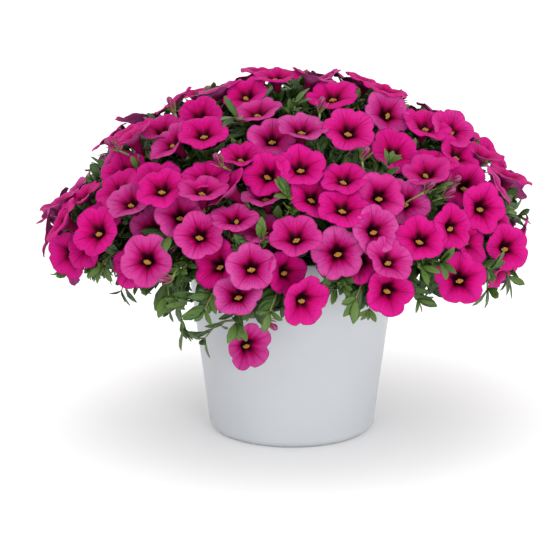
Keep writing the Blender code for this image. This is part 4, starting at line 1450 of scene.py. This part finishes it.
# green tips that the photograph shows between and below the blooms: x, y in its frame, how many
# millimetres it sits behind the dome, and how many leaves it has
tipsInPhoto = [
    (262, 240, 4, 6), (290, 198, 6, 5), (295, 106, 3, 5), (236, 118, 3, 6), (388, 166, 4, 6),
    (431, 191, 3, 7), (170, 236, 5, 5), (190, 276, 2, 6), (97, 192, 4, 4), (169, 296, 2, 6),
    (186, 302, 0, 6), (205, 309, -6, 6), (205, 338, -26, 4), (184, 328, -18, 4), (238, 321, -12, 4),
    (270, 311, -14, 6), (352, 277, 2, 7), (363, 285, 4, 7), (356, 298, 4, 4), (104, 265, 6, 6),
    (70, 271, 6, 5), (421, 266, 5, 6), (490, 268, 4, 4), (488, 288, 0, 4), (508, 276, 4, 6),
    (212, 284, 3, 6), (330, 286, 6, 5), (405, 276, 6, 5), (440, 262, 6, 5),
]
# buds: x, y, millimetres behind the dome, and how far it leans to the right
budsInPhoto = [
    (174, 112, 0, 0.0), (425, 192, 1, 0.2), (443, 197, 1, 0.4), (448, 186, 1, 0.5),
    (264, 320, -14, 1.0), (173, 278, 1, -0.8), (320, 112, 0, 0.1), (222, 166, 1, -0.3),
    (362, 160, 2, 0.2), (118, 150, 0, -0.6),
]
fringe = {"room": 9 * mm, "ahead": 2 * mm, "tipFrom": 14 * mm, "budFrom": 12 * mm, "tone": 0.5}


def potRadius(z):
    share = np.clip(z / potForm["height"], 0, 1)
    return potForm["baseRadius"] + (potForm["rimRadius"] - potForm["baseRadius"]) * share


def photoPoint(x, y, back):
    # Where a tip sits: on the dome, or in front of the pot where the fringe hangs over it.
    p = onDome(x, y) + ray(x, y) * back * mm
    low = potRadius(p[2]) + fringe["room"]
    if p[2] < potForm["height"] and np.hypot(p[0], p[1]) < low:
        p = p - ray(x, y) * (low + p[1] + fringe["ahead"])
    return p


budForm = {
    "length": 11 * mm,
    "radius": 2.0 * mm,
    "sides": 10,
    "shares": (0.02, 0.15, 0.35, 0.55, 0.75, 0.9, 0.98),
    "widths": (0.55, 0.85, 0.8, 0.75, 1.0, 0.8, 0.3),
    "twist": 1.6,
    "ridge": 0.12,
    "stalk": (0.6 * mm, 0.55 * mm, 0.8 * mm),
    "stray": 1.5 * mm,
    "calyx": 4 * mm,
}


def addBud(patch, draw, start, tip, way):
    path = [start, (start + tip) / 2 + draw.normal(0, budForm["stray"], 3), tip]
    addRod(patch, path, budForm["stalk"], stems, 5, 5, 0.8)
    axes = np.array([*squareTo(way), way])
    sides = budForm["sides"]
    ridges = np.arange(sides) % 2
    rows, along = [], []
    for t, r in zip(budForm["shares"], budForm["widths"]):
        turn = spokes(sides) + budForm["twist"] * t
        wide = budForm["radius"] * r * (1 + budForm["ridge"] * ridges * t)
        rows.append(hoop(turn, wide, t * budForm["length"]))
        along += [t] * sides
    points = np.vstack(rows + [[[0, 0, 0], [0, 0, budForm["length"]]]])
    across = np.append(np.tile(ridges, len(rows)), [0, 0]).astype(float)
    patch.add(tip + points @ axes, rodFaces(len(rows), sides), buds, along + [0, 1], across)
    addSepals(patch, draw, tip + way * budForm["calyx"], way)


def nearestTwig(point, lines):
    # The line that passes nearest, and the place on it. Starting by a line's foot costs more.
    best = min(((np.linalg.norm(line - point, axis=1) +
                 sprigForm["footCost"] * (np.arange(len(line)) < 3)).min(), k)
               for k, (_, line) in enumerate(lines))
    owner, line = lines[best[1]]
    spot = int(np.argmin(np.linalg.norm(line - point, axis=1)))
    return owner, line[min(spot, len(line) - 4)]


def spreadSprig(patches, draw, layer, n, among):
    polar = math.acos(1 - sprigForm["share"] * (n + 0.5) / layer["count"])
    for _ in range(sprigForm["tries"]):
        direction = unit(heading(polar, n * goldenTurn) + draw.normal(0, sprigForm["stray"], 3))
        tip = fromMiddle(direction) - direction * draw.uniform(*layer["under"])
        overPot = np.hypot(tip[0], tip[1]) < potForm["rimRadius"] + sprigForm["potRoom"]
        inPot = overPot and tip[2] < potForm["height"]
        if inPot or min(np.linalg.norm(places - tip, axis=1)) < layer["room"]:
            continue
        owner, start = nearestTwig(tip - domeNormal(tip) * layer["from"], among)
        tone = draw.uniform(*layer["tone"])
        if addSprig(patches[owner], draw, start, tip, tone, layer["leaves"]):
            return True
    return False


# how stems and twigs are drawn: sides, steps and tone, then where their leaves start, their tone
# and how far off a bloom can be in their way
stemDraw = {"rod": (8, 4, 0.1), "start": 0.12, "tone": 0.25, "reach": 60 * mm}
twigDraw = {"rod": (6, 5, 0.6), "start": 0.2, "tone": 0.35, "reach": 45 * mm}
frameLeaf = {"tones": (0.2, 0.8), "shape": (0.2, 0.1, 0.05)}   # fold, droop and wave


def dressShoots():
    draw = np.random.default_rng(leafSpread["seed"])
    patches = [Patch(stems, leaves, sepals, buds) for _ in grown["stems"]]
    lines = []
    for k, (path, radii) in enumerate(grown["stems"]):
        line = addRod(patches[k], path, radii, stems, *stemDraw["rod"])
        lines.append((k, line))
        leavesAlong(patches[k], draw, line, leafSpread["perStem"], stemDraw["start"],
                    nearTrees(line[-1], stemDraw["reach"]), stemDraw["tone"])
    for k, path, radii, base, face in grown["twigs"]:
        line = addRod(patches[k], path, radii, stems, *twigDraw["rod"])
        lines.append((k, line[:-5]))
        addSepals(patches[k], draw, base, face)
        leavesAlong(patches[k], draw, line[:-4], leafSpread["perTwig"], twigDraw["start"],
                    nearTrees(line[len(line) // 2], twigDraw["reach"]), twigDraw["tone"])
    for k, at, axes, length in grown["leaves"]:
        addBlade(patches[k], at, axes, length, length * shootForm["leafShape"], leaves,
                 draw.uniform(*frameLeaf["tones"]), *frameLeaf["shape"])
    made = 0
    for layer, among in ((outerSprigs, lines[:len(patches)]), (innerSprigs, lines)):
        for n in range(layer["count"]):
            made += spreadSprig(patches, draw, layer, n, among)
    for x, y, back, count in tipsInPhoto:
        tip = photoPoint(x, y, back)
        owner, start = nearestTwig(tip - domeNormal(tip) * fringe["tipFrom"], lines)
        made += addSprig(patches[owner], draw, start, tip, fringe["tone"], count, True)
    for x, y, back, lean in budsInPhoto:
        tip = photoPoint(x, y, back)
        owner, start = nearestTwig(tip - domeNormal(tip) * fringe["budFrom"], lines)
        addBud(patches[owner], draw, start, tip, unit(domeNormal(tip) + [lean, 0, 0.2]))
    for k, patch in enumerate(patches, 1):
        piece = patch.make(f"leafyShoot{k:02d}", "foliage")
        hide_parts(f"shoot_{k:02d}")
    print("shoots dressed, with", made, "green sprigs")


dressBlooms()
print("blooms dressed")
dressShoots()


# the pot: a turned wall with a round lip and foot
potShell = {
    "sides": 128,
    "lip": 1.2 * mm,
    "lipSteps": 6,
    "lipInside": 2.2,       # lips in from the outside
    "footSteps": 8,
    "footIn": 0.86,
    "footTurn": 82,         # degrees
    "wallShares": (0.25, 0.5, 0.75, 0.93),
    "poleRadius": 1 * mm,
    "baseRing": 0.6,
}


def turnPot():
    corner, height, floor = potForm["cornerRadius"], potForm["height"], potForm["floor"]
    foot = potForm["baseRadius"] - corner * potShell["footIn"]
    outline = [(potShell["poleRadius"], 0.0), (foot * potShell["baseRing"], 0.0)]
    for k in range(potShell["footSteps"] + 1):
        a = math.radians(90 - k * potShell["footTurn"] / potShell["footSteps"])
        outline.append((foot + corner * math.cos(a), corner * (1 - math.sin(a))))
    outline += [(potRadius(t * height), t * height) for t in potShell["wallShares"]]
    outer, lip = potForm["rimRadius"], potShell["lip"]
    for k in range(potShell["lipSteps"] + 1):
        a = math.radians(k * 180 / potShell["lipSteps"])
        outline.append((outer - lip + lip * math.cos(a), height - lip + lip * math.sin(a)))
    outline += [(outer - potShell["lipInside"] * lip, height - lip * 2),
                (potRadius(floor) - potForm["wall"], floor), (potShell["poleRadius"], floor)]
    turn = spokes(potShell["sides"])
    rows = [hoop(turn, r, z) for r, z in outline]
    points = np.vstack(rows + [[[0, 0, 0], [0, 0, floor]]])
    patch = Patch(potSatin)
    patch.add(points, rodFaces(len(rows), len(turn)), potSatin)
    piece = patch.make("potShell", "pot")
    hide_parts("pot")


turnPot()
print("pot turned")


# crumbs of soil on top of the soil's solid, spread by geometry nodes
crumbForm = {
    "radius": 63 * mm,
    "perArea": 110000.0,
    "size": 2.6 * mm,
    "smallest": (0.35, 0.3, 0.25),
    "largest": (1.1, 0.9, 0.7),
    "spin": (6.28, 6.28, 6.28),
    "seed": 4,
}


def crumbTree():
    tree = bpy.data.node_groups.new("soilCrumbs", "GeometryNodeTree")
    face = tree.interface
    face.new_socket("Geometry", in_out="INPUT", socket_type="NodeSocketGeometry")
    for name in ("Radius", "Density", "Size"):
        face.new_socket(name, in_out="INPUT", socket_type="NodeSocketFloat")
    face.new_socket("Geometry", in_out="OUTPUT", socket_type="NodeSocketGeometry")
    node, link = tree.nodes.new, tree.links.new
    given, result = node("NodeGroupInput"), node("NodeGroupOutput")
    disc = node("GeometryNodeMeshCircle")
    disc.fill_type = "NGON"
    link(given.outputs["Radius"], disc.inputs["Radius"])
    spread = node("GeometryNodeDistributePointsOnFaces")
    spread.inputs["Seed"].default_value = crumbForm["seed"]
    link(disc.outputs["Mesh"], spread.inputs["Mesh"])
    link(given.outputs["Density"], spread.inputs["Density"])
    ball = node("GeometryNodeMeshIcoSphere")
    ball.inputs["Subdivisions"].default_value = 1
    link(given.outputs["Size"], ball.inputs["Radius"])
    size, spin = node("FunctionNodeRandomValue"), node("FunctionNodeRandomValue")
    size.data_type = spin.data_type = "FLOAT_VECTOR"
    size.inputs[0].default_value = crumbForm["smallest"]
    size.inputs[1].default_value = crumbForm["largest"]
    spin.inputs[1].default_value = crumbForm["spin"]
    placed = node("GeometryNodeInstanceOnPoints")
    link(spread.outputs["Points"], placed.inputs["Points"])
    link(ball.outputs["Mesh"], placed.inputs["Instance"])
    link(size.outputs[0], placed.inputs["Scale"])
    link(spin.outputs[0], placed.inputs["Rotation"])
    lift = node("GeometryNodeTransform")
    lift.inputs["Translation"].default_value = (0, 0, potForm["soilTop"])
    real, paint = node("GeometryNodeRealizeInstances"), node("GeometryNodeSetMaterial")
    paint.inputs["Material"].default_value = soilDark
    link(placed.outputs[0], real.inputs[0])
    link(real.outputs[0], lift.inputs["Geometry"])
    link(lift.outputs[0], paint.inputs["Geometry"])
    link(paint.outputs[0], result.inputs[0])
    return tree


def spreadCrumbs():
    host = newObject("crumbHost", bpy.data.meshes.new("crumbHost"))
    tree = crumbTree()
    nodes = host.modifiers.new("crumbs", "NODES")
    nodes.node_group = tree
    wanted = {"Radius": crumbForm["radius"], "Density": crumbForm["perArea"],
              "Size": crumbForm["size"]}
    for item in tree.interface.items_tree:
        if item.in_out == "INPUT" and item.name in wanted:
            nodes[item.identifier] = wanted[item.name]
    bpy.context.view_layer.update()
    made = host.evaluated_get(bpy.context.evaluated_depsgraph_get())
    mesh = bpy.data.meshes.new_from_object(made)
    host.modifiers.clear()
    bpy.data.objects.remove(host)
    mesh.shade_smooth()
    piece = newObject("soilCrumbs", mesh)
    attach(piece, "root")
    frame["nodes"]["soil"].data.materials.clear()
    frame["nodes"]["soil"].data.materials.append(soilDark)
    print("soil crumbs:", len(mesh.polygons), "faces")


spreadCrumbs()


# floor, light and camera
studio = {
    "world": 1.22,
    "floor": (0.94, 0.94, 0.945),
    "floorHalf": 6.0,
    "keyPlace": (-0.4, -0.8, 1.3),
    "keySpread": 60.0,      # degrees
    "keyPower": 0.7,
    "fillPlace": (0.75, -2.0, 0.3),
    "fillSize": 0.9,
    "fillPower": 24.0,
    "lampAim": (0, 0, 0.12),
    "sensor": 36.0,
}


def plainFloor():
    mesh = bpy.data.meshes.new("floor")
    half = studio["floorHalf"]
    mesh.from_pydata([(-half, -half, 0), (half, -half, 0), (half, half, 0), (-half, half, 0)], [],
                     [(0, 1, 2, 3)])
    piece = newObject("floor", mesh)
    s = Shader("floor")
    mesh.materials.append(s.finish((*studio["floor"], 1), 0.9, Specular_IOR_Level=0.0))
    piece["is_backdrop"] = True


def softLight(name, kind, place, size, power):
    light = bpy.data.lights.new(name, kind)
    if kind == "SUN":
        light.angle = math.radians(size)
    else:
        light.size = size
    light.energy = power
    lamp = newObject(name, light)
    lamp.location = place
    lamp.rotation_mode = "QUATERNION"
    lamp.rotation_quaternion = (Vector(studio["lampAim"]) - Vector(place)).to_track_quat("-Z", "Y")


def takeAim():
    lens = bpy.data.cameras.new("camera")
    lens.sensor_width = studio["sensor"]
    lens.lens = lens.sensor_width * photo["viewDistance"] / (photo["side"] * photo["pixelSize"])
    lens.clip_start, lens.clip_end = 0.05, 30
    camera = newObject("camera", lens)
    camera.location = eye
    camera.rotation_mode = "QUATERNION"
    camera.rotation_quaternion = Vector(-toward).to_track_quat("-Z", "Y")
    bpy.context.scene.camera = camera


plainFloor()
softLight("key", "SUN", studio["keyPlace"], studio["keySpread"], studio["keyPower"])
softLight("fill", "AREA", studio["fillPlace"], studio["fillSize"], studio["fillPower"])
world = bpy.data.worlds.new("studio")
world.use_nodes = True
world.node_tree.nodes["Background"].inputs["Color"].default_value = (1, 1, 1, 1)
world.node_tree.nodes["Background"].inputs["Strength"].default_value = studio["world"]
bpy.context.scene.world = world
bpy.context.scene.view_settings.view_transform = "Standard"
takeAim()
print("studio set")

low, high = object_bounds()
print("size of the visual model:", [round(v, 4) for v in high - low])
